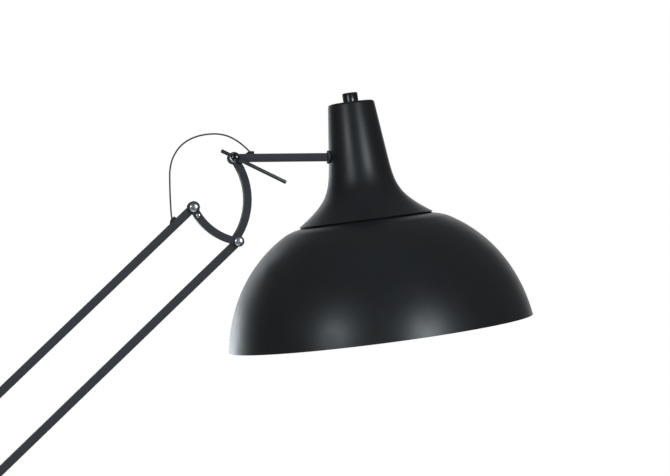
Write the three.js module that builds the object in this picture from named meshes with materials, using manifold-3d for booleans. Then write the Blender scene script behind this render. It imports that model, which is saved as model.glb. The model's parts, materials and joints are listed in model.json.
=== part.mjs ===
// Adjustable arm floor lamp: a weighted round base, a post, a parallelogram arm between two curved
// brackets, and a spun shade on a short head arm. Millimetres, +Z up. The origin is on the floor
// under the post, the arm lies in the plane y = 0 and reaches along +X, and the clamp handles face -Y.
import * as THREE from "three";
import { mergeVertices } from "three/addons/utils/BufferGeometryUtils.js";
import Module from "manifold-3d";

const wasm = await Module();
wasm.setup();

// ---- Driving dimensions, mm and degrees -------------------------------------------------------
const ARM_LENGTH = 480;
const ARM_ANGLE = 43.9;
const TUBE = 10;
const TUBE_WALL = 1;
const PIVOT_BOLT_R = 3;
const HOLE_SLACK = 0.1;
const FREE_PIVOT_SLACK = 0.35;
const GAP = 0.3;

// The bracket's three eyes, seen from eye A, the corner where its two arcs meet, and how far they bulge.
const EYE_A = [0, 0];
const EYE_B = [55.2, -41.3];
const EYE_C = [49.4, 60.6];
const CORNER = [50.3, -40.5];
const SHORT_BULGE = 8.8;
const LONG_BULGE = 16.7;
const STRIP_WIDTH = 9;
const CHEEK = 2;
const CHEEK_GAP = 10.6;
const EYE_RADII = { A: 7.3, B: 6.5, C: 7.4 };

const POST_EYE_Z = 1021.3;
const POST_R = 12.5;
const POST_WALL = 1.5;
const POST_FOOT_Z = 32;
const POST_TOP_Z = 985;
const SPINDLE_R = 8;
const HUB_R = 17;
const HUB_TOP_Z = 1006;
const LOCK_SCREW_PITCH = 11;
const TIE_SCREW_PITCH = 11.3;

const BASE_R = 158;
const PAD_R = 154;
const PAD = 3;
const WEIGHT_R = 152;
const WEIGHT_EDGE_Z = 22;
const WEIGHT_TOP_Z = 31.5;
const COVER_WALL = 1.5;

const HANDLE_SLOPE = -25.5;
const HANDLE_SHORT = 18.8;
const HANDLE_LONG = 69.5;
const HANDLE_R = 2.3;
const HANDLE_DEPTH = 15.3;

const LEAD_R = 1;
const GROMMET_R = 5;
const GROMMET_HEIGHT = 3;
const BAR_GROMMET_PITCH = 29;
const HEAD_GROMMET_PITCH = 20.5;

const HEAD_ARM_REACH = 116.6;
const HEAD_ARM_RISE = 1.1;
const SHADE_TILT = 7.5;
const RIM_FROM_C = [183.7, -215.1];
const DOME_RADIUS = 192;
const DOME_HEIGHT = 196.7;
const DOME_SINK = 38.55;
const DOME_POWER = 2.19;
const DOME_WALL = 1;
const SEAM_R = 83.1;
const SEAM_T = 140;
const FLANGE_T = 145;
const NECK_WALL = 1.5;
const CONE_FOOT = [36.7, 218.4];
const CONE_TOP = [29, 284.8];
const NECK_TOP_T = 287.8;
const KNOB_R = 9.6;
const KNOB_TOP_T = 299.8;
const BULB_R = 30;

// ---- Looks --------------------------------------------------------------------------------------
function look(color, roughness, metalness) {
  return () => new THREE.MeshStandardMaterial({ color, roughness, metalness });
}
const blackCoat = look(0x2b2c2f, 0.45, 0);
const blackGloss = look(0x151516, 0.2, 0);
const zinc = look(0xb9bcc0, 0.3, 1);
const rubber = look(0x1b1b1c, 0.8, 0);
const castIron = look(0x4a4a4c, 0.7, 0.6);
const nylon = look(0x2a2a2b, 0.5, 0);
const glass = look(0xf2f2ee, 0.25, 0);
const brass = look(0xb99a55, 0.35, 1);

// ---- Small tools --------------------------------------------------------------------------------
const lamp = new THREE.Group();

/** Turns a closed three.js geometry into a solid that can be cut and joined. */
function solid(geometry) {
  geometry.deleteAttribute("normal");
  geometry.deleteAttribute("uv");
  const merged = mergeVertices(geometry, 1e-4);
  const index = merged.index.array;
  const triangles = [];
  for (let i = 0; i < index.length; i += 3) {
    const [a, b, c] = index.slice(i, i + 3);
    if (a !== b && b !== c && c !== a) {
      triangles.push(a, b, c);
    }
  }
  const vertProperties = new Float32Array(merged.attributes.position.array);
  const triVerts = new Uint32Array(triangles);
  return new wasm.Manifold(new wasm.Mesh({ numProp: 3, vertProperties, triVerts }));
}

/** Adds one named sub-part, in its own colour, to a group. */
function add(name, body, material, group = lamp) {
  const { vertProperties, triVerts } = body.getMesh();
  const geometry = new THREE.BufferGeometry();
  geometry.setAttribute("position", new THREE.BufferAttribute(vertProperties, 3));
  geometry.setIndex(new THREE.BufferAttribute(triVerts, 1));
  const facets = geometry.toNonIndexed();
  facets.computeVertexNormals();
  const mesh = new THREE.Mesh(facets, material());
  mesh.name = name;
  group.add(mesh);
}

function union(...bodies) {
  return bodies.reduce((sum, body) => sum.add(body));
}

/** A disc, hexagon or tapered round across the arm's plane, from yFront to yBack, at [x, z]. */
function across([x, z], radius, yFront, yBack, sides = 20, backRadius = radius) {
  const geometry = new THREE.CylinderGeometry(backRadius, radius, yBack - yFront, sides);
  return solid(geometry.translate(x, (yFront + yBack) / 2, z));
}

/** A round bar along X, as a geometry that can still be moved. */
function rodAlongX(xLow, xHigh, radius, sides = 32) {
  const geometry = new THREE.CylinderGeometry(radius, radius, xHigh - xLow, sides);
  return geometry.rotateZ(-Math.PI / 2).translate((xLow + xHigh) / 2, 0, 0);
}

/** A round bar along Z. */
function alongZ(zLow, zHigh, radius, [x, y] = [0, 0], sides = 32) {
  const geometry = new THREE.CylinderGeometry(radius, radius, zHigh - zLow, sides);
  geometry.rotateX(Math.PI / 2);
  return solid(geometry.translate(x, y, (zLow + zHigh) / 2));
}

function block([x0, x1], [y0, y1], [z0, z1]) {
  const geometry = new THREE.BoxGeometry(x1 - x0, y1 - y0, z1 - z0);
  return solid(geometry.translate((x0 + x1) / 2, (y0 + y1) / 2, (z0 + z1) / 2));
}

/** A turned piece about Z. The [radius, height] points run up the outside, then down the inside. */
function turned(points, segments = 36) {
  const profile = points.map(([r, z]) => new THREE.Vector2(r, z));
  return new THREE.LatheGeometry(profile, segments).rotateX(Math.PI / 2);
}

/** A flat plate in the arm's plane, from an outline in x and z. */
function plate(outline, yFront, yBack, curveSegments = 7) {
  const geometry = new THREE.ExtrudeGeometry(outline, {
    depth: yBack - yFront,
    bevelEnabled: false,
    curveSegments,
  });
  return solid(geometry.rotateX(Math.PI / 2).translate(0, yBack, 0));
}

function plus([x0, z0], [x1, z1]) {
  return [x0 + x1, z0 + z1];
}

function polar(length, degrees) {
  const angle = THREE.MathUtils.degToRad(degrees);
  return [length * Math.cos(angle), length * Math.sin(angle)];
}

// ---- The curved bracket ---------------------------------------------------------------------------
/** The arc between two eyes. It bulges to the right of the way from one to the other. */
function arcBetween(from, to, bulge) {
  const chord = new THREE.Vector2(to[0] - from[0], to[1] - from[1]);
  const half = chord.length() / 2;
  const radius = (half * half + bulge * bulge) / (2 * bulge);
  const inward = new THREE.Vector2(-chord.y, chord.x).normalize().multiplyScalar(radius - bulge);
  const centre = [(from[0] + to[0]) / 2 + inward.x, (from[1] + to[1]) / 2 + inward.y];
  const start = Math.atan2(from[1] - centre[1], from[0] - centre[0]);
  const sweep = 2 * Math.asin(half / radius);
  return { centre, radius, start, end: start + sweep };
}

/** A curved strip along an arc, cut short at each end by a length along it. */
function arcStrip({ centre, radius, start, end }, cutStart, cutEnd) {
  const from = start + cutStart / radius;
  const to = end - cutEnd / radius;
  const outline = new THREE.Shape();
  outline.absarc(...centre, radius + STRIP_WIDTH / 2, from, to, false);
  outline.absarc(...centre, radius - STRIP_WIDTH / 2, to, from, true);
  return outline;
}

function pointOnArc({ centre, radius, start }, length) {
  return plus(centre, [
    radius * Math.cos(start + length / radius),
    radius * Math.sin(start + length / radius),
  ]);
}

const shortArc = arcBetween(EYE_A, EYE_B, SHORT_BULGE);
const longArc = arcBetween(CORNER, EYE_C, LONG_BULGE);
const longArcLength = longArc.radius * (longArc.end - longArc.start);
const tiePoint = pointOnArc(shortArc, TIE_SCREW_PITCH);
const lockPoint = pointOnArc(longArc, longArcLength - LOCK_SCREW_PITCH);

const cheekInner = CHEEK_GAP / 2;
const cheekOuter = cheekInner + CHEEK;
const SHORT_CORE_CUTS = [13.5, 22];
const LONG_CORE_CUTS = [9, 18.5];
const TIE_SCREW_R = 2;

function cheek(yFront, yBack, extraHole) {
  const eyes = [
    [EYE_A, EYE_RADII.A],
    [EYE_B, EYE_RADII.B],
    [EYE_C, EYE_RADII.C],
  ];
  let body = union(
    plate(arcStrip(shortArc, 0, 0), yFront, yBack),
    plate(arcStrip(longArc, 0, 0), yFront, yBack),
    ...eyes.map(([eye, radius]) => across(eye, radius, yFront, yBack, 20)),
  );
  for (const [eye] of eyes) {
    body = body.subtract(across(eye, PIVOT_BOLT_R + HOLE_SLACK, yFront - 1, yBack + 1, 16));
  }
  for (const hole of [tiePoint, ...extraHole]) {
    body = body.subtract(across(hole, TIE_SCREW_R + HOLE_SLACK, yFront - 1, yBack + 1, 16));
  }
  return body;
}

/** Two cheeks held apart by two curved cores, and the small screw that ties them. */
function bracket(prefix, group, extraHole) {
  add(`${prefix}_cheek_front`, cheek(-cheekOuter, -cheekInner, extraHole), blackCoat, group);
  add(`${prefix}_cheek_back`, cheek(cheekInner, cheekOuter, extraHole), blackCoat, group);
  const short = plate(arcStrip(shortArc, ...SHORT_CORE_CUTS), -cheekInner, cheekInner, 8);
  add(`${prefix}_core_short`, short, blackCoat, group);
  const long = plate(arcStrip(longArc, ...LONG_CORE_CUTS), -cheekInner, cheekInner, 10);
  add(`${prefix}_core_long`, long, blackCoat, group);
  add(`${prefix}_tie_screw`, smallScrew(tiePoint), zinc, group);
}

// ---- Fasteners ------------------------------------------------------------------------------------
const WASHER = 1.2;
const SCREW_HEAD_R = 6;
const SCREW_HEAD = 3.8;
const SCREW_TIP_Y = 12.6;
const NUT = 5;
const NUT_R = 5.77;

/** A cross recess cut into a screw head whose top is at y = top. */
function crossRecess([x, z], top, reach, width, depth) {
  const flat = block([x - reach, x + reach], [top - 1, top + depth], [z - width, z + width]);
  const upright = block([x - width, x + width], [top - 1, top + depth], [z - reach, z + reach]);
  return flat.add(upright);
}

/** A pan-head screw: crowned head in front, shank running back. */
function panScrew(point, headBack, headR, head, shankR, tip) {
  const rim = across(point, headR, headBack - head * 0.55, headBack, 20);
  const crown = across(point, headR * 0.72, headBack - head, headBack - head * 0.55, 20, headR);
  const shank = across(point, shankR, headBack - 0.01, tip, 16);
  const recess = crossRecess(point, headBack - head, headR * 0.52, headR * 0.1, head * 0.45);
  return union(rim, crown, shank).subtract(recess);
}

function smallScrew(point) {
  return panScrew(point, -cheekOuter, 3.1, 2.2, TIE_SCREW_R, cheekOuter + 0.5);
}

function pivotScrew(point, washer) {
  return panScrew(point, -cheekOuter - washer, SCREW_HEAD_R, SCREW_HEAD, PIVOT_BOLT_R, SCREW_TIP_Y);
}

function pivotWasher(point, radius) {
  const ring = across(point, radius, -cheekOuter - WASHER, -cheekOuter);
  return ring.subtract(across(point, PIVOT_BOLT_R + HOLE_SLACK, -cheekOuter - 3, 0, 16));
}

function pivotNut(point) {
  const hexagon = across(point, NUT_R, cheekOuter, cheekOuter + NUT, 6);
  return hexagon.subtract(across(point, PIVOT_BOLT_R + HOLE_SLACK, 0, SCREW_TIP_Y + 3, 16));
}

// ---- Clamp handles ----------------------------------------------------------------------------------
const CLAMP_WASHER_R = 6;
const CLAMP_WASHER = 1.6;
const CLAMP_R = 5.65;
const CLAMP_NOSE_Y = -21.5;

/** The round-nosed clamp screw, its washer, and the tommy bar pressed off-centre through its head. */
function clampHandle(prefix, point) {
  const seat = -cheekOuter - CLAMP_WASHER;
  const noseStart = CLAMP_NOSE_Y + 2.2;
  const head = union(
    across(point, CLAMP_R, noseStart, seat, 24),
    across(point, CLAMP_R * 0.86, CLAMP_NOSE_Y + 0.7, noseStart, 24, CLAMP_R),
    across(point, CLAMP_R * 0.5, CLAMP_NOSE_Y, CLAMP_NOSE_Y + 0.7, 24, CLAMP_R * 0.86),
    across(point, PIVOT_BOLT_R, seat - 0.01, SCREW_TIP_Y, 24),
  );
  const bar = (radius, low, high, sides) => {
    const geometry = rodAlongX(low, high, radius, sides);
    geometry.rotateY(THREE.MathUtils.degToRad(-HANDLE_SLOPE));
    return solid(geometry.translate(point[0], -HANDLE_DEPTH, point[1]));
  };
  const hole = bar(HANDLE_R + HOLE_SLACK, -10, 10, 24);
  add(`${prefix}_clamp_screw`, head.subtract(hole), blackGloss);
  add(`${prefix}_tommy_bar`, bar(HANDLE_R, -HANDLE_SHORT, HANDLE_LONG, 20), blackCoat);
  const washer = across(point, CLAMP_WASHER_R, seat, -cheekOuter);
  const washerHole = across(point, PIVOT_BOLT_R + HOLE_SLACK, seat - 1, 0, 16);
  add(`${prefix}_clamp_washer`, washer.subtract(washerHole), zinc);
}

// ---- Base and post ------------------------------------------------------------------------------------
function base() {
  add("base_pad", alongZ(0, PAD, PAD_R, [0, 0], 64), rubber);

  const boltHeadZ = 11;
  const weight = solid(turned([
    [0, PAD],
    [WEIGHT_R, PAD],
    [WEIGHT_R, WEIGHT_EDGE_Z],
    [WEIGHT_R - 7, WEIGHT_EDGE_Z + 5],
    [20, WEIGHT_TOP_Z],
    [0, WEIGHT_TOP_Z],
  ], 40));
  const weightHole = alongZ(0, WEIGHT_TOP_Z + 1, 5.3).add(alongZ(0, boltHeadZ, 13));
  add("base_weight", weight.subtract(weightHole), castIron);

  const collarR = POST_R + 0.4;
  const cover = solid(turned([
    [BASE_R - COVER_WALL, 1],
    [BASE_R, 1],
    [BASE_R, WEIGHT_EDGE_Z],
    [BASE_R - 1.6, WEIGHT_EDGE_Z + 4],
    [BASE_R - 5.5, WEIGHT_EDGE_Z + 6.6],
    [26, WEIGHT_TOP_Z + 2.6],
    [collarR + 2, WEIGHT_TOP_Z + 8],
    [collarR, WEIGHT_TOP_Z + 8.5],
    [collarR, WEIGHT_TOP_Z + 6],
    [24.5, WEIGHT_TOP_Z + 0.9],
    [BASE_R - 6, WEIGHT_EDGE_Z + 5.4],
    [BASE_R - COVER_WALL - 1.2, WEIGHT_EDGE_Z + 3.2],
    [BASE_R - COVER_WALL, WEIGHT_EDGE_Z],
    [BASE_R - COVER_WALL, 1],
  ], 48));
  const glandZ = 14;
  const glandHole = solid(rodAlongX(-BASE_R - 2, -BASE_R + 5, 6.2).translate(0, 0, glandZ));
  add("base_cover", cover.subtract(glandHole), blackCoat);

  const gland = solid(turned([
    [3.2, -3],
    [6, -3],
    [6, GAP],
    [8.5, GAP],
    [8.5, 3],
    [6.2, 5],
    [4.6, 15],
    [3.2, 15],
    [3.2, -3],
  ], 24).rotateY(-Math.PI / 2).translate(-BASE_R, 0, glandZ));
  add("cord_gland", gland, rubber);

  const boltTop = POST_FOOT_Z + 18;
  const boltHead = solid(new THREE.CylinderGeometry(9.8, 9.8, 6.4, 6)
    .rotateX(Math.PI / 2).translate(0, 0, boltHeadZ - 3.2));
  add("post_fixing_bolt", boltHead.add(alongZ(boltHeadZ - 0.01, boltTop, 5, [0, 0], 24)), zinc);

  const plugR = POST_R - POST_WALL - HOLE_SLACK;
  const plug = alongZ(POST_FOOT_Z, POST_FOOT_Z + 30, plugR);
  const plugHole = alongZ(POST_FOOT_Z - 1, boltTop + 2, 5.1, [0, 0], 24);
  add("post_foot_plug", plug.subtract(plugHole), zinc);

  const post = alongZ(POST_FOOT_Z, POST_TOP_Z, POST_R, [0, 0], 48);
  const postBore = alongZ(POST_FOOT_Z - 1, POST_TOP_Z + 1, POST_R - POST_WALL, [0, 0], 48);
  add("post_tube", post.subtract(postBore), blackCoat);

  const boreR = SPINDLE_R + HOLE_SLACK;
  const bush = turned([
    [boreR, POST_TOP_Z - 85],
    [plugR, POST_TOP_Z - 85],
    [plugR, POST_TOP_Z],
    [POST_R, POST_TOP_Z],
    [POST_R, POST_TOP_Z + 3],
    [boreR, POST_TOP_Z + 3],
    [boreR, POST_TOP_Z - 85],
  ], 48);
  add("post_top_bush", solid(bush), nylon);
}

// ---- Swivel hub ---------------------------------------------------------------------------------------
const postEye = [0, POST_EYE_Z];
const footEyeA = plus(postEye, EYE_C);
const footEyeB = [footEyeA[0] - EYE_B[0], footEyeA[1] - EYE_B[1]];
const LEAD_DUCT_Z = 997;

function turnedAbout(eyeA, [x, z]) {
  return [eyeA[0] - x, eyeA[1] - z];
}

function swivelHub() {
  const lock = turnedAbout(footEyeA, lockPoint);
  const tongueY = TUBE / 2;
  const seatZ = POST_TOP_Z + 3;
  const spindle = solid(turned([
    [0, POST_TOP_Z - 80],
    [SPINDLE_R, POST_TOP_Z - 80],
    [SPINDLE_R, seatZ],
    [HUB_R, seatZ],
    [HUB_R, HUB_TOP_Z - 4],
    [HUB_R - 4, HUB_TOP_Z],
    [0, HUB_TOP_Z],
  ]));
  const web = new THREE.Shape([
    new THREE.Vector2(-8, HUB_TOP_Z - 2),
    new THREE.Vector2(8, HUB_TOP_Z - 2),
    new THREE.Vector2(8, POST_EYE_Z),
    new THREE.Vector2(lock[0] + 5.5, lock[1]),
    new THREE.Vector2(lock[0] - 5.5, lock[1]),
    new THREE.Vector2(-8, POST_EYE_Z),
  ]);
  const tongue = union(
    plate(web, -tongueY, tongueY),
    across(postEye, 8, -tongueY, tongueY),
    across(lock, 5.5, -tongueY, tongueY),
  );
  const cuts = union(
    across(postEye, PIVOT_BOLT_R + HOLE_SLACK, -20, 20, 24),
    across(lock, TIE_SCREW_R + HOLE_SLACK, -20, 20, 20),
    alongZ(POST_TOP_Z - 90, LEAD_DUCT_Z, 3.5, [0, 0], 24),
    solid(rodAlongX(-HUB_R - 1, 0, 2.6, 20).translate(0, 0, LEAD_DUCT_Z)),
  );
  add("swivel_hub", spindle.add(tongue).subtract(cuts), blackCoat);
  add("hub_screw_lower", pivotScrew(postEye, 0), zinc);
  add("hub_screw_upper", smallScrew(lock), zinc);
  const grommet = grommetShape().rotateY(-Math.PI / 2).translate(-HUB_R, 0, LEAD_DUCT_Z);
  add("hub_grommet", solid(grommet), rubber);
}

// ---- Grommets and arm tubes ---------------------------------------------------------------------------
/** A domed rubber grommet standing on z = 0, with its stem through the wall below. */
function grommetShape() {
  return turned([
    [1.2, -TUBE_WALL - 0.8],
    [2.1, -TUBE_WALL - 0.8],
    [2.1, GAP / 3],
    [GROMMET_R, GAP / 3],
    [GROMMET_R, 0.9],
    [GROMMET_R - 1, 1.9],
    [2.4, GROMMET_HEIGHT],
    [1.2, GROMMET_HEIGHT],
    [1.2, -TUBE_WALL - 0.8],
  ], 12);
}

/** A square tube along X from a round end at x = 0. roundFar says whether its far end is round too. */
function squareTube(length, roundFar) {
  const half = TUBE / 2;
  const outline = new THREE.Shape();
  outline.absarc(0, 0, half, Math.PI / 2, Math.PI * 1.5, false);
  if (roundFar) {
    outline.absarc(length, 0, half, -Math.PI / 2, Math.PI / 2, false);
  } else {
    outline.lineTo(length, -half);
    outline.lineTo(length, half);
  }
  const channel = half - TUBE_WALL;
  const channelEnd = roundFar ? length + 1.5 : length + 1;
  return plate(outline, -half, half)
    .subtract(block([-1.5, channelEnd], [-channel, channel], [-channel, channel]));
}

function leadHole(x) {
  return alongZ(TUBE / 2 - 2, TUBE / 2 + 1, 2.2, [x, 0], 12);
}

function boltHole(x, slack) {
  return across([x, 0], PIVOT_BOLT_R + slack, -TUBE, TUBE, 16);
}

function armBars() {
  const tilt = THREE.MathUtils.degToRad(-ARM_ANGLE);
  const upper = new THREE.Group();
  upper.position.set(footEyeB[0], 0, footEyeB[1]);
  upper.rotation.y = tilt;
  const grommets = { arm_grommet_foot: BAR_GROMMET_PITCH, arm_grommet_head: ARM_LENGTH - BAR_GROMMET_PITCH };
  let bar = squareTube(ARM_LENGTH, true)
    .subtract(boltHole(0, HOLE_SLACK))
    .subtract(boltHole(ARM_LENGTH, HOLE_SLACK));
  for (const [name, x] of Object.entries(grommets)) {
    bar = bar.subtract(leadHole(x));
    add(name, solid(grommetShape().translate(x, 0, TUBE / 2)), rubber, upper);
  }
  add("arm_upper_bar", bar, blackCoat, upper);

  const lower = new THREE.Group();
  lower.position.set(footEyeA[0], 0, footEyeA[1]);
  lower.rotation.y = tilt;
  const follower = squareTube(ARM_LENGTH, true)
    .subtract(boltHole(0, HOLE_SLACK))
    .subtract(boltHole(ARM_LENGTH, FREE_PIVOT_SLACK));
  add("arm_lower_bar", follower, blackCoat, lower);
  lamp.add(upper, lower);
}

// ---- Brackets at both ends of the arm -------------------------------------------------------------------
const headEyeA = plus(footEyeB, polar(ARM_LENGTH, ARM_ANGLE));
const headEyeB = plus(headEyeA, EYE_B);
const headEyeC = plus(headEyeA, EYE_C);

/** The foot bracket is the head bracket turned upside down. */
function brackets() {
  const head = new THREE.Group();
  head.position.set(headEyeA[0], 0, headEyeA[1]);
  bracket("head", head, []);
  const foot = new THREE.Group();
  foot.position.set(footEyeA[0], 0, footEyeA[1]);
  foot.rotation.y = Math.PI;
  bracket("foot", foot, [lockPoint]);
  lamp.add(head, foot);
}

function pivots() {
  const joints = [
    ["pivot_a", headEyeA, 7.5],
    ["pivot_b", headEyeB, 6.7],
  ];
  for (const [name, point, washerR] of joints) {
    add(`${name}_screw`, pivotScrew(point, WASHER), zinc);
    add(`${name}_washer`, pivotWasher(point, washerR), blackCoat);
    add(`${name}_nut`, pivotNut(point), zinc);
  }
  add("foot_pivot_screw", pivotScrew(footEyeA, 0), zinc);
  add("foot_pivot_nut", pivotNut(footEyeA), zinc);
  add("foot_clamp_nut", pivotNut(footEyeB), zinc);
  add("head_clamp_nut", pivotNut(headEyeC), zinc);
  clampHandle("foot", footEyeB);
  clampHandle("head", headEyeC);
}

// ---- Shade ------------------------------------------------------------------------------------------------
const rimCentre = plus(headEyeC, RIM_FROM_C);
const tiltRad = THREE.MathUtils.degToRad(SHADE_TILT);

/** Moves a shape from the shade's own frame (rim centre, axis up) to its place on the lamp. */
function inShade(geometry) {
  return solid(geometry.rotateY(-tiltRad).translate(rimCentre[0], 0, rimCentre[1]));
}

/** The flared neck's outside, from its lip up to the foot of the cone, moved out by an offset. */
function neckOutside(offset, steps) {
  const flare = new THREE.CubicBezierCurve(
    new THREE.Vector2(SEAM_R, SEAM_T + NECK_WALL + 2 * GAP),
    new THREE.Vector2(44, 168.3),
    new THREE.Vector2(41, 180.9),
    new THREE.Vector2(...CONE_FOOT),
  );
  const points = [];
  for (let i = 0; i <= steps; i += 1) {
    const point = flare.getPointAt(i / steps);
    const way = flare.getTangentAt(i / steps);
    points.push([point.x + way.y * offset, point.y - way.x * offset]);
  }
  points.push([CONE_TOP[0] + offset, CONE_TOP[1]]);
  return points;
}

function neck() {
  const top = [
    [CONE_TOP[0] - 0.9, NECK_TOP_T - 0.9],
    [CONE_TOP[0] - 3, NECK_TOP_T],
    [4.7, NECK_TOP_T],
    [4.7, NECK_TOP_T - NECK_WALL],
    [CONE_TOP[0] - 3.6, NECK_TOP_T - NECK_WALL],
  ];
  const outside = neckOutside(0, 9);
  const inside = neckOutside(-NECK_WALL, 9).reverse();
  const shell = inShade(turned([...outside, ...top, ...inside, outside[0]], 36));
  const gallery = inShade(turned([
    [48.5, FLANGE_T - 7],
    [50, FLANGE_T - 7],
    [50, FLANGE_T + GAP],
    [76, FLANGE_T + GAP],
    [72.5, FLANGE_T + GAP + 2.6],
    [48.5, FLANGE_T + GAP + 2.6],
    [48.5, FLANGE_T - 7],
  ], 36));
  const armHole = onArm(rodAlongX(neckWall - 6, neckWall + 8, 4.2, 28));
  add("neck", shell.add(gallery).subtract(armHole), blackCoat);
}

/** How far along the head arm, from its eye, the neck's wall is met. */
function reachToNeck() {
  const slope = (CONE_FOOT[0] - CONE_TOP[0]) / (CONE_TOP[1] - CONE_FOOT[1]);
  const coneRadius = CONE_FOOT[0] + slope * CONE_FOOT[1];
  const fromRim = new THREE.Vector2(-RIM_FROM_C[0], -RIM_FROM_C[1]);
  const way = new THREE.Vector2(...polar(1, HEAD_ARM_RISE));
  const up = new THREE.Vector2(-Math.sin(tiltRad), Math.cos(tiltRad));
  const out = new THREE.Vector2(Math.cos(tiltRad), Math.sin(tiltRad));
  const shortfall = coneRadius - slope * up.dot(fromRim) + out.dot(fromRim);
  return shortfall / (slope * up.dot(way) - out.dot(way));
}
const neckWall = reachToNeck();

/** Moves a shape from the head arm's own frame (eye C, arm along X) to its place on the lamp. */
function onArm(geometry) {
  geometry.rotateY(THREE.MathUtils.degToRad(-HEAD_ARM_RISE));
  return solid(geometry.translate(headEyeC[0], 0, headEyeC[1]));
}

/** The dome's section: a super-ellipse that flattens under the neck into a level flange. */
function domeSide(inset, steps) {
  const power = 2 / DOME_POWER;
  const width = DOME_RADIUS - inset;
  const height = DOME_HEIGHT - inset;
  const first = Math.asin((DOME_SINK / height) ** (1 / power));
  const last = Math.acos((100 / DOME_RADIUS) ** (1 / power));
  const points = [];
  for (let i = 0; i <= steps; i += 1) {
    const angle = first + ((last - first) * i) / steps;
    points.push([width * Math.cos(angle) ** power, height * Math.sin(angle) ** power - DOME_SINK]);
  }
  points.push([91.5, SEAM_T - 1.9 - inset], [SEAM_R, SEAM_T - inset]);
  points.push([68, FLANGE_T - inset], [50.6, FLANGE_T - inset]);
  return points;
}

function dome() {
  const outside = domeSide(0, 9);
  const inside = domeSide(DOME_WALL, 9).reverse();
  add("dome", inShade(turned([...outside, ...inside, outside[0]], 52)), blackCoat);
  const ringTop = FLANGE_T - DOME_WALL - GAP;
  add("dome_ring", inShade(turned([
    [50.4, ringTop - 5],
    [60, ringTop - 5],
    [60, ringTop],
    [50.4, ringTop],
    [50.4, ringTop - 5],
  ], 36)), blackCoat);
}

/** A piece about the shade's axis, from radius and height points. */
function shadeTurned(points, segments = 24) {
  return inShade(turned(points, segments));
}

function lightSource() {
  const strapHigh = NECK_TOP_T - NECK_WALL - GAP;
  const strapLow = 236;
  const strap = new THREE.Shape([
    new THREE.Vector2(-18.5, strapLow),
    new THREE.Vector2(18.5, strapLow),
    new THREE.Vector2(18.5, strapHigh),
    new THREE.Vector2(-18.5, strapHigh),
  ]);
  strap.holes.push(new THREE.Path([
    new THREE.Vector2(-17, strapLow + 1.5),
    new THREE.Vector2(-17, strapHigh - 1.5),
    new THREE.Vector2(17, strapHigh - 1.5),
    new THREE.Vector2(17, strapLow + 1.5),
  ]));
  const frame = new THREE.ExtrudeGeometry(strap, { depth: 14, bevelEnabled: false });
  frame.rotateX(Math.PI / 2).translate(0, 7, 0);
  const strapHoles = shadeTurned([[0, strapLow - 5], [5.2, strapLow - 5], [5.2, 300], [0, 300]], 24);
  add("holder_strap", inShade(frame).subtract(strapHoles), zinc);

  add("lampholder", shadeTurned([
    [14.2, 176],
    [20, 176],
    [20, 216],
    [17, 226],
    [9, 235.4],
    [5, 235.4],
    [5, 244],
    [0, 244],
    [0, 205],
    [14.2, 205],
    [14.2, 176],
  ]), nylon);

  add("bulb_cap", shadeTurned([
    [0, 176.5],
    [13.2, 176.5],
    [13.2, 199],
    [6, 203],
    [0, 204],
  ]), brass);
  add("bulb_glass", shadeTurned(bulbProfile(), 24), glass);

  const bodyTop = strapHigh - 1.5 - GAP;
  add("switch_body", shadeTurned([
    [0, bodyTop - 22],
    [13, bodyTop - 22],
    [13, bodyTop],
    [4.4, bodyTop],
    [4.4, NECK_TOP_T + 3.2],
    [3, NECK_TOP_T + 3.2],
    [3, KNOB_TOP_T - 3],
    [0, KNOB_TOP_T - 3],
  ]), nylon);
  const nut = new THREE.CylinderGeometry(6.9, 6.9, 2.4, 6).rotateX(Math.PI / 2);
  const nutHole = shadeTurned([[0, NECK_TOP_T - 2], [4.5, NECK_TOP_T - 2], [4.5, 295], [0, 295]], 24);
  const nutPlace = nut.translate(0, 0, NECK_TOP_T + GAP + 1.2);
  add("switch_nut", inShade(nutPlace).subtract(nutHole), zinc);
  add("switch_knob", shadeTurned([
    [7.4, NECK_TOP_T + 0.6],
    [KNOB_R, NECK_TOP_T + 0.6],
    [KNOB_R, KNOB_TOP_T - 1.2],
    [KNOB_R - 1.2, KNOB_TOP_T],
    [0, KNOB_TOP_T],
    [0, KNOB_TOP_T - 2.6],
    [3.15, KNOB_TOP_T - 2.6],
    [3.15, NECK_TOP_T + 4],
    [7.4, NECK_TOP_T + 4],
    [7.4, NECK_TOP_T + 0.6],
  ], 40), blackGloss);
}

/** A pear-shaped bulb, one thin wall, open at its neck where the cap closes it. */
function bulbProfile() {
  const crown = 69;
  const middle = crown + BULB_R;
  const side = (inset) => {
    const points = [];
    for (let i = 0; i <= 6; i += 1) {
      const angle = THREE.MathUtils.degToRad(-90 + 18.5 * i);
      const r = BULB_R - inset;
      points.push([i === 0 ? 0 : r * Math.cos(angle), middle + r * Math.sin(angle)]);
    }
    points.push([20 - inset, middle + 34], [15 - inset, middle + 50], [12.8 - inset, middle + 77]);
    return points;
  };
  return [...side(0), ...side(1).reverse()];
}

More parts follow.
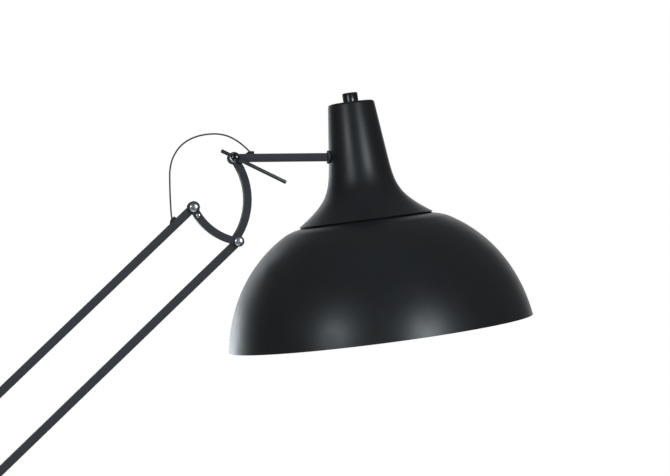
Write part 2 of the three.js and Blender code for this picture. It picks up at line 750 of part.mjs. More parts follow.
// ---- Head arm -------------------------------------------------------------------------------------------
function headArm() {
  const tube = squareTube(HEAD_ARM_REACH - GAP, false)
    .subtract(boltHole(0, HOLE_SLACK))
    .subtract(leadHole(HEAD_GROMMET_PITCH));
  const arm = new THREE.Group();
  arm.position.set(headEyeC[0], 0, headEyeC[1]);
  arm.rotation.y = THREE.MathUtils.degToRad(-HEAD_ARM_RISE);
  add("head_arm_tube", tube, blackCoat, arm);
  const grommet = grommetShape().translate(HEAD_GROMMET_PITCH, 0, TUBE / 2);
  add("head_arm_grommet", solid(grommet), rubber, arm);
  lamp.add(arm);

  const plugSide = TUBE - 2 * (TUBE_WALL + GAP);
  const plugLength = 14;
  const tubeEnd = HEAD_ARM_REACH - GAP;
  const nutStart = neckWall + NECK_WALL + 1.4;
  const nutLength = 4.5;
  const plug = new THREE.BoxGeometry(plugLength, plugSide, plugSide);
  const rod = onArm(rodAlongX(tubeEnd - 1, nutStart + 8, 4));
  const bore = onArm(rodAlongX(tubeEnd - 20, nutStart + 12, 1.6, 16));
  const nipple = onArm(plug.translate(tubeEnd - plugLength / 2, 0, 0)).add(rod);
  add("arm_nipple", nipple.subtract(bore), zinc);

  const nut = onArm(rodAlongX(nutStart, nutStart + nutLength, 7.2, 6));
  const rodHole = onArm(rodAlongX(HEAD_ARM_REACH - 2, nutStart + 9, 4.1));
  add("nipple_nut", nut.subtract(rodHole), zinc);

  const coneGrown = shadeTurned([
    [0, 150],
    ...neckOutside(GAP, 9).slice(4),
    [0, CONE_TOP[1]],
  ], 36);
  const disc = onArm(rodAlongX(HEAD_ARM_REACH, neckWall + 2, 8.15, 28));
  add("neck_washer", disc.subtract(rodHole).subtract(coneGrown), blackCoat);
}

// ---- Lead -------------------------------------------------------------------------------------------
/** A lead along hand-set [x, z] points. */
function lead(name, points, steps) {
  const path = new THREE.CatmullRomCurve3(points.map(([x, z]) => new THREE.Vector3(x, 0, z)));
  const section = new THREE.Shape();
  section.absarc(0, 0, LEAD_R, 0, Math.PI * 2, false);
  const geometry = new THREE.ExtrudeGeometry(section, { steps, curveSegments: 4, extrudePath: path });
  add(name, solid(geometry), rubber);
}

/** A point over the upper bar: along it from an eye, and out from its middle line. */
function overBar(eye, along, out) {
  return plus(eye, plus(polar(along, ARM_ANGLE), polar(out, ARM_ANGLE + 90)));
}

function leads() {
  const out = TUBE / 2 + GROMMET_HEIGHT + GAP;
  const apex = plus(headEyeA, [26, 90]);
  const headGrommetTop = plus(polar(HEAD_GROMMET_PITCH, HEAD_ARM_RISE), polar(out, HEAD_ARM_RISE + 90));
  lead("lead_head_low", [
    overBar(headEyeA, -BAR_GROMMET_PITCH, out),
    plus(headEyeA, [-27, -6]),
    plus(headEyeA, [-28, 11]),
    plus(headEyeA, [-28.6, 30]),
    plus(headEyeA, [-28.4, 45]),
    plus(headEyeA, [-25.3, 59]),
    plus(headEyeA, [-17, 73]),
    plus(headEyeA, [-6, 82]),
    plus(headEyeA, [8.5, 87.8]),
    apex,
  ], 24);
  lead("lead_head_high", [
    plus(apex, [GAP, 0]),
    plus(apex, [12, -1.3]),
    plus(apex, [22, -5]),
    plus(apex, [33, -12]),
    plus(headEyeC, headGrommetTop),
  ], 14);
  lead("lead_foot", [
    overBar(footEyeB, BAR_GROMMET_PITCH, out),
    overBar(footEyeB, BAR_GROMMET_PITCH - 1.5, out + 6),
    plus(footEyeB, [-14, 44]),
    plus(footEyeB, [-34, 34]),
    plus(footEyeB, [-46, 8]),
    plus(footEyeB, [-48, -36]),
    plus(footEyeB, [-42, -82]),
    plus(footEyeB, [-31, -113]),
    [-HUB_R - GROMMET_HEIGHT - 6, LEAD_DUCT_Z + 1.5],
    [-HUB_R - GROMMET_HEIGHT - GAP, LEAD_DUCT_Z],
  ], 32);
}

base();
swivelHub();
armBars();
brackets();
pivots();
headArm();
neck();
dome();
lightSource();
leads();

export default lamp;
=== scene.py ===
"""Adjustable arm floor lamp: the looks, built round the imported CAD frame.

Metres, in the frame's own axes: the origin is on the floor under the post, +Z is up, the arm lies
in the plane y = 0 and reaches along +X, and the clamp handles face -Y.
"""
import json
import math

import bmesh
import bpy
from bpy.props import FloatProperty, FloatVectorProperty, PointerProperty
from mathutils import Matrix, Vector

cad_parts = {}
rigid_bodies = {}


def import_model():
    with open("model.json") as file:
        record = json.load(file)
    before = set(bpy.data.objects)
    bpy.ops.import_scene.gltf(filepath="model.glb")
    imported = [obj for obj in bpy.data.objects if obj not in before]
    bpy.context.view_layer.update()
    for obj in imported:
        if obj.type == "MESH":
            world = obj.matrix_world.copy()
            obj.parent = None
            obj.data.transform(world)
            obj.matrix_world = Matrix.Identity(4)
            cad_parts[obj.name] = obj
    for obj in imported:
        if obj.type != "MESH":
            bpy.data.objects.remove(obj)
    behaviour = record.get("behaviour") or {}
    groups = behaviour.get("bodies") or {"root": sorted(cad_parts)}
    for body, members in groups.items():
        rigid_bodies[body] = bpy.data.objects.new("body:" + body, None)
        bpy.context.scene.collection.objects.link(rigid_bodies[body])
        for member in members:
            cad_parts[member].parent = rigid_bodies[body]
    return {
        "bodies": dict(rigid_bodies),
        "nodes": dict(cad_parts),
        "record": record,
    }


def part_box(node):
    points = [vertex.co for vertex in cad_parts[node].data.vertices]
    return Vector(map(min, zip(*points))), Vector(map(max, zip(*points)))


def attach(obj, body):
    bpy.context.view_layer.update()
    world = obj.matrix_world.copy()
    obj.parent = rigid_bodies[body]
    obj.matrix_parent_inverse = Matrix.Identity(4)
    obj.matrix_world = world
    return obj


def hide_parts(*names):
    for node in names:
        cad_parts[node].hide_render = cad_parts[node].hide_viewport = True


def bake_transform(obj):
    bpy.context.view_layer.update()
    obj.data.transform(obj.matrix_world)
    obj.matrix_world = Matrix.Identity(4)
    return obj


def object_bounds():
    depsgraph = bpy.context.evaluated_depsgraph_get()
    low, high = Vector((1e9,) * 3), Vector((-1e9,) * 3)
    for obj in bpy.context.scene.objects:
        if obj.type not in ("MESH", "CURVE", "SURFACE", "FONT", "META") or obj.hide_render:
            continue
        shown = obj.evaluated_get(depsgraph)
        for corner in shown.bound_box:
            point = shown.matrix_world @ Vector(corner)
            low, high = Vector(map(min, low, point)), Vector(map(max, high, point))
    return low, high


bl_info = {
    "name": "Adjustable arm floor lamp",
    "version": (1, 0, 0),
    "blender": (4, 5, 0),
    "location": "View3D > Sidebar > Lamp",
    "description": "Builds the visible pieces, finishes and studio of an adjustable arm floor lamp",
    "category": "Object",
}

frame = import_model()
CAD_LOW, CAD_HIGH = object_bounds()

MM = 0.001
PIVOTS = {joint["name"]: joint for joint in frame["record"]["behaviour"]["joints"]}


def pivot(name):
    """A joint's own point at rest."""
    return Vector(PIVOTS[name]["pos_m"])


EYE_A = pivot("head_level")
EYE_C = pivot("head_tilt")
FOOT_EYE_B = pivot("arm_raise")
BAR_WAY = (EYE_A - FOOT_EYE_B).normalized()
BAR_OUT = Vector((-BAR_WAY.z, 0, BAR_WAY.x))

# The shade's own frame: the rim's centre, with its axis up. The knob turns about the same axis.
SHADE_AXIS = Vector(PIVOTS["dimmer_turn"]["axis"]).normalized()
# How far above the rim the knob's joint stands.
KNOB_PITCH = 293 * MM
RIM_CENTRE = pivot("dimmer_turn") - SHADE_AXIS * KNOB_PITCH
SHADE_PLACE = Matrix.Translation(RIM_CENTRE) @ Matrix.Rotation(
    math.atan2(SHADE_AXIS.x, SHADE_AXIS.z), 4, "Y"
)

# The head arm's own frame: eye C, with the arm along X.
ARM_AXIS = Vector(PIVOTS["shade_turn"]["axis"]).normalized()
HEAD_ARM_PLACE = Matrix.Translation(EYE_C) @ Matrix.Rotation(
    -math.atan2(ARM_AXIS.z, ARM_AXIS.x), 4, "Y"
)

# Sizes that the CAD solids share, in metres.
TUBE = 10 * MM
SCREW_R = 3 * MM
SMALL_SCREW_R = 2 * MM
SCREW_BORE = 3.1 * MM
CHEEK_FACE = 7.3 * MM
WASHER_THICK = 1.2 * MM
DOME_RADIUS = 192 * MM
DOME_HEIGHT = 196.7 * MM
DOME_SINK = 38.55 * MM
DOME_POWER = 2.19
DOME_WALL = 1 * MM
DOME_SHOULDER_R = 100 * MM
SEAM_R = 83.1 * MM
SEAM_T = 140 * MM
FLANGE_T = 145 * MM
SEAT_OUTER = (91.5 * MM, SEAM_T - 1.9 * MM)
FLANGE_R = 68 * MM
NECK_HOLE_R = 50.6 * MM
NECK_WALL = 1.5 * MM
NECK_SEAT = 0.6 * MM
FLARE_LOW = (44 * MM, 168.3 * MM)
FLARE_HIGH = (41 * MM, 180.9 * MM)
CONE_FOOT = (36.7 * MM, 218.4 * MM)
CONE_TOP = (29 * MM, 284.8 * MM)
NECK_TOP_T = 287.8 * MM
KNOB_R = 9.6 * MM
KNOB_TOP_T = 299.8 * MM
BULB_R = 30 * MM
BULB_CROWN_T = 69 * MM
BULB_WALL = 1 * MM
HANDLE_R = 2.3 * MM
HANDLE_SLOPE = math.radians(-25.5)
LEAD_R = 1 * MM
GROMMET_HEIGHT = 3 * MM
GAP = 0.3 * MM
BAR_GROMMET_PITCH = 29 * MM
HEAD_GROMMET_PITCH = 20.5 * MM
LEAD_DUCT = Vector((-20.3 * MM, 0, 997 * MM))


# ---- Properties ----
def colour(name, description, hex_text):
    """A colour property whose default is an sRGB hex value."""
    return FloatVectorProperty(
        name=name,
        description=description,
        subtype="COLOR",
        size=3,
        min=0,
        max=1,
        default=to_linear(hex_text)[:3],
    )


def length(name, description, millimetres):
    """A length property, given in millimetres."""
    return FloatProperty(
        name=name,
        description=description,
        default=millimetres * MM,
        min=0,
        unit="LENGTH",
        subtype="DISTANCE",
    )


def to_linear(hex_text):
    """An sRGB hex value such as 2b2c2f as linear red, green, blue and alpha."""
    channels = []
    for place in (0, 2, 4):
        value = int(hex_text[place : place + 2], 16) / 255
        channels.append(value / 12.92 if value <= 0.04045 else ((value + 0.055) / 1.055) ** 2.4)
    return (*channels, 1.0)


class LampSizes(bpy.types.PropertyGroup):
    """The small radii and depths that the maker may choose."""

    tube_corner: length("Tube corner", "Outside corner radius of the square tubes", 0.7)
    sheet_edge: length("Sheet edge", "Rounding of the pressed bracket cheeks' edges", 0.35)
    turned_edge: length("Turned edge", "Rounding of machined and turned edges", 0.4)
    spinning_pitch: length("Spinning pitch", "Spacing of the faint rings left by the spinning roller", 5)
    peel: length("Orange peel", "Spacing of the bumps in the powder coat", 2.6)


class LampColours(bpy.types.PropertyGroup):
    """The finishes' colours."""

    coat: colour("Powder coat", "Satin black powder coat on the arm, brackets, post and base", "38393c")
    shade: colour("Shade lacquer", "Satin black lacquer outside the shade", "121416")
    inside: colour("Shade inside", "White enamel inside the shade", "f0efe9")
    plate: colour("Zinc plate", "Bright zinc on the screws and nuts", "c9ccd0")
    rubber: colour("Rubber", "Grommets, gland and base pad", "1a1a1b")


class LampStudio(bpy.types.PropertyGroup):
    """The camera and lights."""

    lens: FloatProperty(
        name="Lens", description="The camera's focal length in millimetres", default=100, min=20
    )
    distance: length("Distance", "From the camera to the point it looks at", 2300)
    left_panel: FloatProperty(
        name="Left panel", description="Power of the tall panel behind the lamp on the left",
        default=15, min=0, unit="POWER",
    )
    front_boxes: FloatProperty(
        name="Front boxes", description="Power of each softbox beside the camera",
        default=13, min=0, unit="POWER",
    )
    sky: FloatProperty(
        name="Sky", description="Strength of the even light from above", default=3.0, min=0
    )


# ---- Material tools ----
def add_node(tree, kind, sockets=None, **settings):
    """Adds a node. Sockets are given by name or number, as a value or as the output that feeds them."""
    node = tree.nodes.new(kind)
    for key, value in settings.items():
        setattr(node, key, value)
    for key, value in (sockets or {}).items():
        if isinstance(value, bpy.types.NodeSocket):
            tree.links.new(value, node.inputs[key])
        else:
            node.inputs[key].default_value = value
    return node


def start_material(name, base, roughness, metallic=0.0, ior=1.5):
    """A new material: the material, its node tree, its shader and the surface point in metres."""
    material = bpy.data.materials.new(name)
    material.use_nodes = True
    tree = material.node_tree
    shader = tree.nodes["Principled BSDF"]
    shader.inputs["Base Color"].default_value = base
    shader.inputs["Roughness"].default_value = roughness
    shader.inputs["Metallic"].default_value = metallic
    if not metallic:
        shader.inputs["IOR"].default_value = ior
    return material, tree, shader, add_node(tree, "ShaderNodeTexCoord").outputs["Object"]


def surface_detail(tree, shader, place, tint=None, rough=None, bumps=()):
    """Gives a finish what it shows close up. Each pattern has a spacing in metres and its octaves.

    tint adds the two colours it drifts between, rough adds its lowest and highest roughness, and
    bumps, from the lowest layer up, add a depth in metres and a strength, and may name their own place.
    """
    layers = []
    if tint:
        layers.append(("tint", place, *tint))
    if rough:
        layers.append(("rough", place, *rough))
    for spacing, octaves, depth, strength, *own in bumps:
        layers.append(("bump", own[0] if own else place, spacing, octaves, depth, strength))
    below = None
    for kind, where, spacing, octaves, first, second in layers:
        pattern = add_node(
            tree, "ShaderNodeTexNoise", {"Vector": where, "Scale": 1 / spacing, "Detail": octaves}
        ).outputs["Fac"]
        if kind == "tint":
            sockets = {"Factor": pattern, "A": first, "B": second}
            drift = add_node(tree, "ShaderNodeMix", sockets, data_type="RGBA")
            tree.links.new(drift.outputs["Result"], shader.inputs["Base Color"])
        elif kind == "rough":
            middle = {"From Min": 0.3, "From Max": 0.7}
            sockets = {"Value": pattern, **middle, "To Min": first, "To Max": second}
            wear = add_node(tree, "ShaderNodeMapRange", sockets)
            tree.links.new(wear.outputs["Result"], shader.inputs["Roughness"])
        else:
            sockets = {"Height": pattern, "Distance": first, "Strength": second}
            if below:
                sockets["Normal"] = below
            below = add_node(tree, "ShaderNodeBump", sockets).outputs["Normal"]
    if below:
        tree.links.new(below, shader.inputs["Normal"])


def detailed(name, base, roughness, metallic=0.0, ior=1.5, settings=None, **detail):
    """A whole finish: its shader's values, any more settings, and its close-up detail."""
    material, tree, shader, place = start_material(name, base, roughness, metallic, ior)
    for socket, value in (settings or {}).items():
        shader.inputs[socket].default_value = value
    surface_detail(tree, shader, place, **detail)
    return material


def shaded(base, share):
    """A colour made lighter or darker by a share."""
    return (*[channel * share for channel in base[:3]], 1.0)


def chosen(name):
    """A colour from the panel, with its alpha."""
    return (*getattr(bpy.context.scene.lamp_colours, name), 1.0)


# ---- Finishes ----
def powder_coat():
    """Matt polyester powder baked on steel. The eye gets an even charcoal black with hardly a sheen."""
    base = chosen("coat")
    peel = bpy.context.scene.lamp_sizes.peel
    # Real peel is about 1 mm across, too fine to show, so it is drawn coarser and shallow.
    return detailed(
        "black_powder_coat", base, 0.68,
        settings={"Specular IOR Level": 0.2},
        tint=(35 * MM, 3, shaded(base, 0.93), shaded(base, 1.07)),
        rough=(14 * MM, 3, 0.62, 0.74),
        bumps=[(0.5 * MM, 1, 0.003 * MM, 0.3), (peel, 2, 0.008 * MM, 0.3)],
    )


def shade_lacquer():
    """Satin lacquer sprayed over spun steel. The eye gets long soft reflections and a trace of the rings
    that the spinning roller leaves."""
    base = chosen("shade")
    sizes = bpy.context.scene.lamp_sizes
    material, tree, shader, place = start_material("black_shade_lacquer", base, 0.38)
    lean = (0, math.atan2(SHADE_AXIS.x, SHADE_AXIS.z), 0)
    upright = add_node(
        tree,
        "ShaderNodeMapping",
        {"Vector": place, "Location": tuple(RIM_CENTRE), "Rotation": lean},
        vector_type="TEXTURE",
    ).outputs["Vector"]
    # The rings are the same all round, so their noise is stretched far out across the axis.
    stretched = add_node(tree, "ShaderNodeMapping", {"Vector": upright, "Scale": (0.02, 0.02, 1)})
    rings = (sizes.spinning_pitch, 1, 0.05 * MM, 0.35, stretched.outputs["Vector"])
    surface_detail(
        tree, shader, place,
        tint=(60 * MM, 3, shaded(base, 0.95), shaded(base, 1.05)),
        rough=(25 * MM, 3, 0.35, 0.4),
        bumps=[rings, (sizes.peel, 2, 0.02 * MM, 0.5)],
    )
    return material


def white_enamel():
    """White enamel sprayed inside the shade. The eye gets a bright, nearly matt reflector."""
    base = chosen("inside")
    return detailed(
        "white_enamel", base, 0.5,
        tint=(40 * MM, 3, shaded(base, 0.97), base),
        bumps=[(2.2 * MM, 2, 0.03 * MM, 0.5)],
    )


def gloss_black():
    """Stoved gloss enamel on the clamp heads. The eye gets small sharp highlights on deep black."""
    return detailed(
        "gloss_black_enamel", to_linear("0d0d0e"), 0.13,
        settings={"Coat Weight": 0.6, "Coat Roughness": 0.06},
        rough=(4 * MM, 3, 0.1, 0.2),
        bumps=[(1.5 * MM, 2, 0.015 * MM, 0.5)],
    )


def bar_enamel():
    """Satin enamel stoved on the drawn clamp bars. The eye gets thin soft lines of light along them."""
    base = to_linear("26282a")
    return detailed(
        "satin_bar_enamel", base, 0.3,
        tint=(12 * MM, 2, shaded(base, 0.94), shaded(base, 1.06)),
        rough=(9 * MM, 2, 0.28, 0.34),
        bumps=[(4 * MM, 1, 0.003 * MM, 0.2)],
    )


def moulded_knob():
    """ABS from a polished mould. The eye gets a glossy black with the faint ripple of moulded plastic."""
    base = to_linear("111112")
    return detailed(
        "polished_abs", base, 0.2, ior=1.54,
        rough=(5 * MM, 2, 0.2, 0.28),
        bumps=[(4 * MM, 1, 0.008 * MM, 0.3)],
    )


def zinc_plate():
    """Bright zinc on cold-headed steel. The eye gets broken pale facets, brushed by the tumbling barrel."""
    base = chosen("plate")
    material, tree, shader, place = start_material("bright_zinc_plate", base, 0.28, 1.0)
    # Scratches from the barrel are 0.1 mm wide, drawn at 0.4 mm so that they show.
    drawn_out = {"Vector": place, "Rotation": (0.3, 0.9, 0.5), "Scale": (1, 1, 0.12)}
    along = add_node(tree, "ShaderNodeMapping", drawn_out).outputs["Vector"]
    surface_detail(
        tree, shader, place,
        tint=(3 * MM, 4, shaded(base, 0.66), base),
        rough=(1.2 * MM, 3, 0.16, 0.4),
        bumps=[(1.6 * MM, 2, 0.14 * MM, 0.6), (0.4 * MM, 2, 0.03 * MM, 0.5, along)],
    )
    return material


def soft_rubber():
    """Moulded rubber. The eye gets a dusty dull black with no clear highlight."""
    base = chosen("rubber")
    return detailed(
        "black_rubber", base, 0.75, ior=1.52,
        tint=(6 * MM, 4, shaded(base, 0.8), shaded(base, 1.3)),
        bumps=[(0.6 * MM, 3, 0.05 * MM, 0.6)],
    )


def lead_jacket():
    """Extruded PVC over the two cores. The eye gets a dull black thread with a narrow sheen."""
    base = to_linear("2c2e31")
    return detailed(
        "extruded_pvc", base, 0.5, ior=1.53,
        rough=(8 * MM, 3, 0.42, 0.58),
        bumps=[(2 * MM, 2, 0.01 * MM, 0.3)],
    )


def cast_iron():
    """Grey iron as cast in sand. The eye gets a rough, dark grey block."""
    base = to_linear("4a4846")
    return detailed(
        "sand_cast_iron", base, 0.7, 1.0,
        tint=(9 * MM, 5, shaded(base, 0.5), base),
        bumps=[(1.5 * MM, 4, 0.4 * MM, 0.8)],
    )


def matt_moulding():
    """Glass-filled nylon from an eroded mould. The eye gets an even dark grey-black with a fine grain."""
    base = to_linear("242425")
    return detailed(
        "eroded_nylon", base, 0.55, ior=1.53,
        tint=(20 * MM, 3, shaded(base, 0.9), shaded(base, 1.1)),
        bumps=[(0.5 * MM, 2, 0.04 * MM, 0.7)],
    )


def opal_glass():
    """Blown glass with a white lining. The eye gets a milky bulb under a clear shine."""
    base = to_linear("f3f2ed")
    return detailed(
        "opal_glass", base, 0.22, ior=1.52,
        settings={
            "Subsurface Weight": 0.4,
            "Subsurface Radius": (0.006, 0.005, 0.004),
            "Coat Weight": 0.8,
            "Coat Roughness": 0.05,
        },
        tint=(25 * MM, 3, shaded(base, 0.96), base),
        bumps=[(12 * MM, 1, 0.05 * MM, 0.3)],
    )


def rolled_brass():
    """Rolled sheet brass on the bulb's cap. The eye gets a warm metal, dulled in the hollows."""
    base = to_linear("c2a468")
    return detailed(
        "rolled_brass", base, 0.32, 1.0,
        tint=(4 * MM, 4, shaded(base, 0.6), base),
        bumps=[(1 * MM, 2, 0.04 * MM, 0.5)],
    )


# Each finish: what makes it, and the record's slot that matches it.
FINISHES = {
    "coat": (powder_coat, "black_coat"),
    "lacquer": (shade_lacquer, "black_coat"),
    "enamel": (white_enamel, None),
    "gloss": (gloss_black, "black_gloss"),
    "bar": (bar_enamel, "black_coat"),
    "knob": (moulded_knob, "gloss_plastic"),
    "zinc": (zinc_plate, "zinc"),
    "rubber": (soft_rubber, "rubber"),
    "jacket": (lead_jacket, "rubber"),
    "iron": (cast_iron, "cast_iron"),
    "nylon": (matt_moulding, "moulding"),
    "opal": (opal_glass, "glass"),
    "brass": (rolled_brass, "brass"),
}
made_finishes = {}


def finish(name):
    """One of the lamp's finishes, made the first time it is asked for."""
    if name not in made_finishes:
        made_finishes[name] = FINISHES[name][0]()
    return made_finishes[name]


# ---- Mesh tools ----
SHARP_ANGLE = math.radians(32)


def smooth_group():
    """A modifier group that smooths a mesh and keeps its edges above an angle crisp."""
    name = "smooth_by_edge_angle"
    if name in bpy.data.node_groups:
        return bpy.data.node_groups[name]
    group = bpy.data.node_groups.new(name, "GeometryNodeTree")
    group.interface.new_socket("Geometry", in_out="INPUT", socket_type="NodeSocketGeometry")
    group.interface.new_socket("Geometry", in_out="OUTPUT", socket_type="NodeSocketGeometry")
    entry = add_node(group, "NodeGroupInput")
    smooth = add_node(
        group,
        "GeometryNodeSetShadeSmooth",
        {"Geometry": entry.outputs["Geometry"], "Shade Smooth": True},
        domain="FACE",
    )
    angle = add_node(group, "GeometryNodeInputMeshEdgeAngle").outputs["Unsigned Angle"]
    crisp = add_node(
        group,
        "FunctionNodeCompare",
        {"A": angle, "B": SHARP_ANGLE},
        data_type="FLOAT",
        operation="GREATER_THAN",
    ).outputs["Result"]
    edges = add_node(
        group,
        "GeometryNodeSetShadeSmooth",
        {"Geometry": smooth.outputs["Geometry"], "Selection": crisp, "Shade Smooth": False},
        domain="EDGE",
    )
    add_node(group, "NodeGroupOutput", {"Geometry": edges.outputs["Geometry"]})
    return group


def soften(piece, radius=0.0, segments=2):
    """Rounds a piece's edges by a radius and smooths what is left."""
    if radius:
        bevel = piece.modifiers.new("edge_rounding", "BEVEL")
        bevel.width = radius
        bevel.segments = segments
        bevel.limit_method = "ANGLE"
        bevel.angle_limit = SHARP_ANGLE
        bevel.miter_outer = "MITER_ARC"
        bevel.use_clamp_overlap = True
    smoothing = piece.modifiers.new("smoothing", "NODES")
    smoothing.node_group = smooth_group()


def dress(node, finish_name, radius=0.0):
    """Gives a CAD node its finish, and rounds its edges."""
    piece = frame["nodes"][node]
    piece.data.materials.clear()
    piece.data.materials.append(finish(finish_name))
    soften(piece, radius)


def made_piece(name, mesh_work, finish_names):
    """A new object from a bmesh, with its finishes."""
    bmesh.ops.remove_doubles(mesh_work, verts=mesh_work.verts, dist=1e-7)
    bmesh.ops.recalc_face_normals(mesh_work, faces=mesh_work.faces)
    mesh = bpy.data.meshes.new(name)
    mesh_work.to_mesh(mesh)
    mesh_work.free()
    piece = bpy.data.objects.new(name, mesh)
    bpy.context.scene.collection.objects.link(piece)
    for finish_name in finish_names:
        mesh.materials.append(finish(finish_name))
    return piece


def stand_in(piece, node):
    """The smoothed piece takes a CAD node's place and body."""
    soften(piece)
    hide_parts(node)
    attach(piece, body_name(node))


def eased(points, radius, steps=4, closed=True, least_turn=15):
    """The outline with each real corner rounded off. Gentle bends are left alone."""
    points = [Vector(point) for point in points]
    count = len(points)
    result = []
    for index, point in enumerate(points):
        if not closed and index in (0, count - 1):
            result.append(point)
            continue
        before = points[index - 1] - point
        after = points[(index + 1) % count] - point
        turn = math.degrees(before.angle(-after, 0)) if before.length and after.length else 0
        if turn < least_turn:
            result.append(point)
            continue
        reach = min(radius, before.length * 0.45, after.length * 0.45)
        start = point + before.normalized() * reach
        end = point + after.normalized() * reach
        for step in range(steps + 1):
            way = step / steps
            bend = start * (1 - way) ** 2 + point * 2 * way * (1 - way) + end * way**2
            result.append(bend)
    return result


def turned(name, profile, place, finish_names, segments=96, inside_from=None):
    """A piece turned about the place's Z, from a closed list of radius and height points. Faces that
    start at or after the point inside_from take the second finish."""
    work = bmesh.new()
    rings = []
    for radius, height in profile:
        if radius < 1e-6:
            rings.append([work.verts.new(place @ Vector((0, 0, height)))])
            continue
        ring = []
        for step in range(segments):
            angle = 2 * math.pi * step / segments
            point = Vector((radius * math.cos(angle), radius * math.sin(angle), height))
            ring.append(work.verts.new(place @ point))
        rings.append(ring)
    for index, ring in enumerate(rings):
        other = rings[(index + 1) % len(rings)]
        for step in range(segments):
            after = (step + 1) % segments
            corners = [ring[step % len(ring)]]
            if len(ring) > 1:
                corners.append(ring[after])
            corners.append(other[after % len(other)])
            if len(other) > 1:
                corners.append(other[step])
            if len(corners) < 3:
                continue
            face = work.faces.new(corners)
            if inside_from is not None and index >= inside_from:
                face.material_index = 1
    return made_piece(name, work, finish_names)


def skin(work, rings):
    """Faces between rings of vertices of one count, and over both ends."""
    for ring, other in zip(rings, rings[1:]):
        for step in range(len(ring)):
            after = (step + 1) % len(ring)
            work.faces.new([ring[step], ring[after], other[after], other[step]])
    work.faces.new(rings[0])
    work.faces.new(rings[-1])


def facing_front(x, z):
    """A place at x and z whose own Z looks out of the lamp's front, along -Y."""
    return Matrix.Translation((x, 0, z)) @ Matrix.Rotation(math.pi / 2, 4, "X")


def carve(piece, cutter, operation="DIFFERENCE"):
    """Cuts a solid out of a piece, or keeps only what they share, and removes the cutter."""
    cut = piece.modifiers.new("cut", "BOOLEAN")
    cut.operation = operation
    cut.solver = "EXACT"
    cut.object = cutter
    graph = bpy.context.evaluated_depsgraph_get()
    result = bpy.data.meshes.new_from_object(piece.evaluated_get(graph))
    piece.modifiers.clear()
    old = piece.data
    piece.data = result
    bpy.data.meshes.remove(old)
    bpy.data.objects.remove(cutter)


def node_middle(node):
    """A CAD node's box: its middle and its full size."""
    low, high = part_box(node)
    return (low + high) / 2, high - low


def body_name(node):
    """The body that a CAD node rides on."""
    parent = frame["nodes"][node].parent
    return next(name for name, body in frame["bodies"].items() if body == parent)


# ---- Tubes and brackets ----
def rounded_bar(name, place, reach, round_far, node):
    """A square tube along the place's X, with its long corners rolled and its ends cut round."""
    half = TUBE / 2
    corner = bpy.context.scene.lamp_sizes.tube_corner
    end_steps = 14
    outline = []
    for step in range(end_steps + 1):
        angle = math.pi / 2 + math.pi * step / end_steps
        outline.append((half * math.cos(angle), half * math.sin(angle)))
    if round_far:
        for step in range(end_steps + 1):
            angle = -math.pi / 2 + math.pi * step / end_steps
            outline.append((reach + half * math.cos(angle), half * math.sin(angle)))
    else:
        outline += [(reach, -half), (reach, half)]
    # Stations across the tube: the flats' edges run round the corner radius.
    corner_steps = 4
    stations = []
    for step in range(corner_steps + 1):
        angle = math.pi / 2 * step / corner_steps
        stations.append((corner * (1 - math.sin(angle)), -half + corner * (1 - math.cos(angle))))
    stations += [(inset, -y) for inset, y in reversed(stations)]
    work = bmesh.new()
    rings = []
    for inset, y in stations:
        ring = []
        for x, z in outline:
            near_x = min(max(x, 0), reach)
            square_end = not round_far and x >= reach
            run = Vector((0 if square_end else x - near_x, z))
            shrink = (run.length - inset) / run.length
            ring.append(work.verts.new(place @ Vector((near_x + run.x * shrink, y, run.y * shrink))))
        rings.append(ring)
    skin(work, rings)
    stand_in(made_piece(name, work, ["coat"]), node)


def build_tubes():
    """The two long bars and the head arm."""
    bar_turn = Matrix.Rotation(-math.atan2(BAR_WAY.z, BAR_WAY.x), 4, "Y")
    reach = (EYE_A - FOOT_EYE_B).length
    upper = Matrix.Translation(FOOT_EYE_B) @ bar_turn
    lower = Matrix.Translation(pivot("lower_bar_pivot")) @ bar_turn
    rounded_bar("upper_bar", upper, reach, True, "arm_upper_bar")
    rounded_bar("lower_bar", lower, reach, True, "arm_lower_bar")
    head_reach = (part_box("head_arm_tube")[1].x - EYE_C.x) / ARM_AXIS.x - 0.1 * MM
    rounded_bar("head_arm", HEAD_ARM_PLACE, head_reach, False, "head_arm_tube")


def build_brackets():
    """The pressed cheeks and the curved bars between them."""
    edge = bpy.context.scene.lamp_sizes.sheet_edge
    for end in ("head", "foot"):
        for part in ("cheek_front", "cheek_back", "core_short", "core_long"):
            dress(f"{end}_{part}", "coat", edge)


# ---- Fasteners ----
def recess_wing(place, top, reach, width, depth):
    """One tapered wing of a driver's cross, as a solid to be cut out."""
    work = bmesh.new()
    foot_share = 0.5
    mouth_share = 1.3
    rings = []
    for height, share in ((top - depth, foot_share), (top + MM, mouth_share)):
        ring = []
        for x, y in ((-1, -1), (1, -1), (1, 1), (-1, 1)):
            corner = Vector((x * reach * share, y * width * share, height))
            ring.append(work.verts.new(place @ corner))
        rings.append(ring)
    skin(work, rings)
    return made_piece("recess_wing", work, ["zinc"])


def shank(radius, seat, tip):
    """A screw's shank from under its head to its chamfered tip."""
    chamfer = 0.5 * MM
    return [(radius, seat), (radius, tip + 0.6 * MM), (radius - chamfer, tip), (0, tip)]


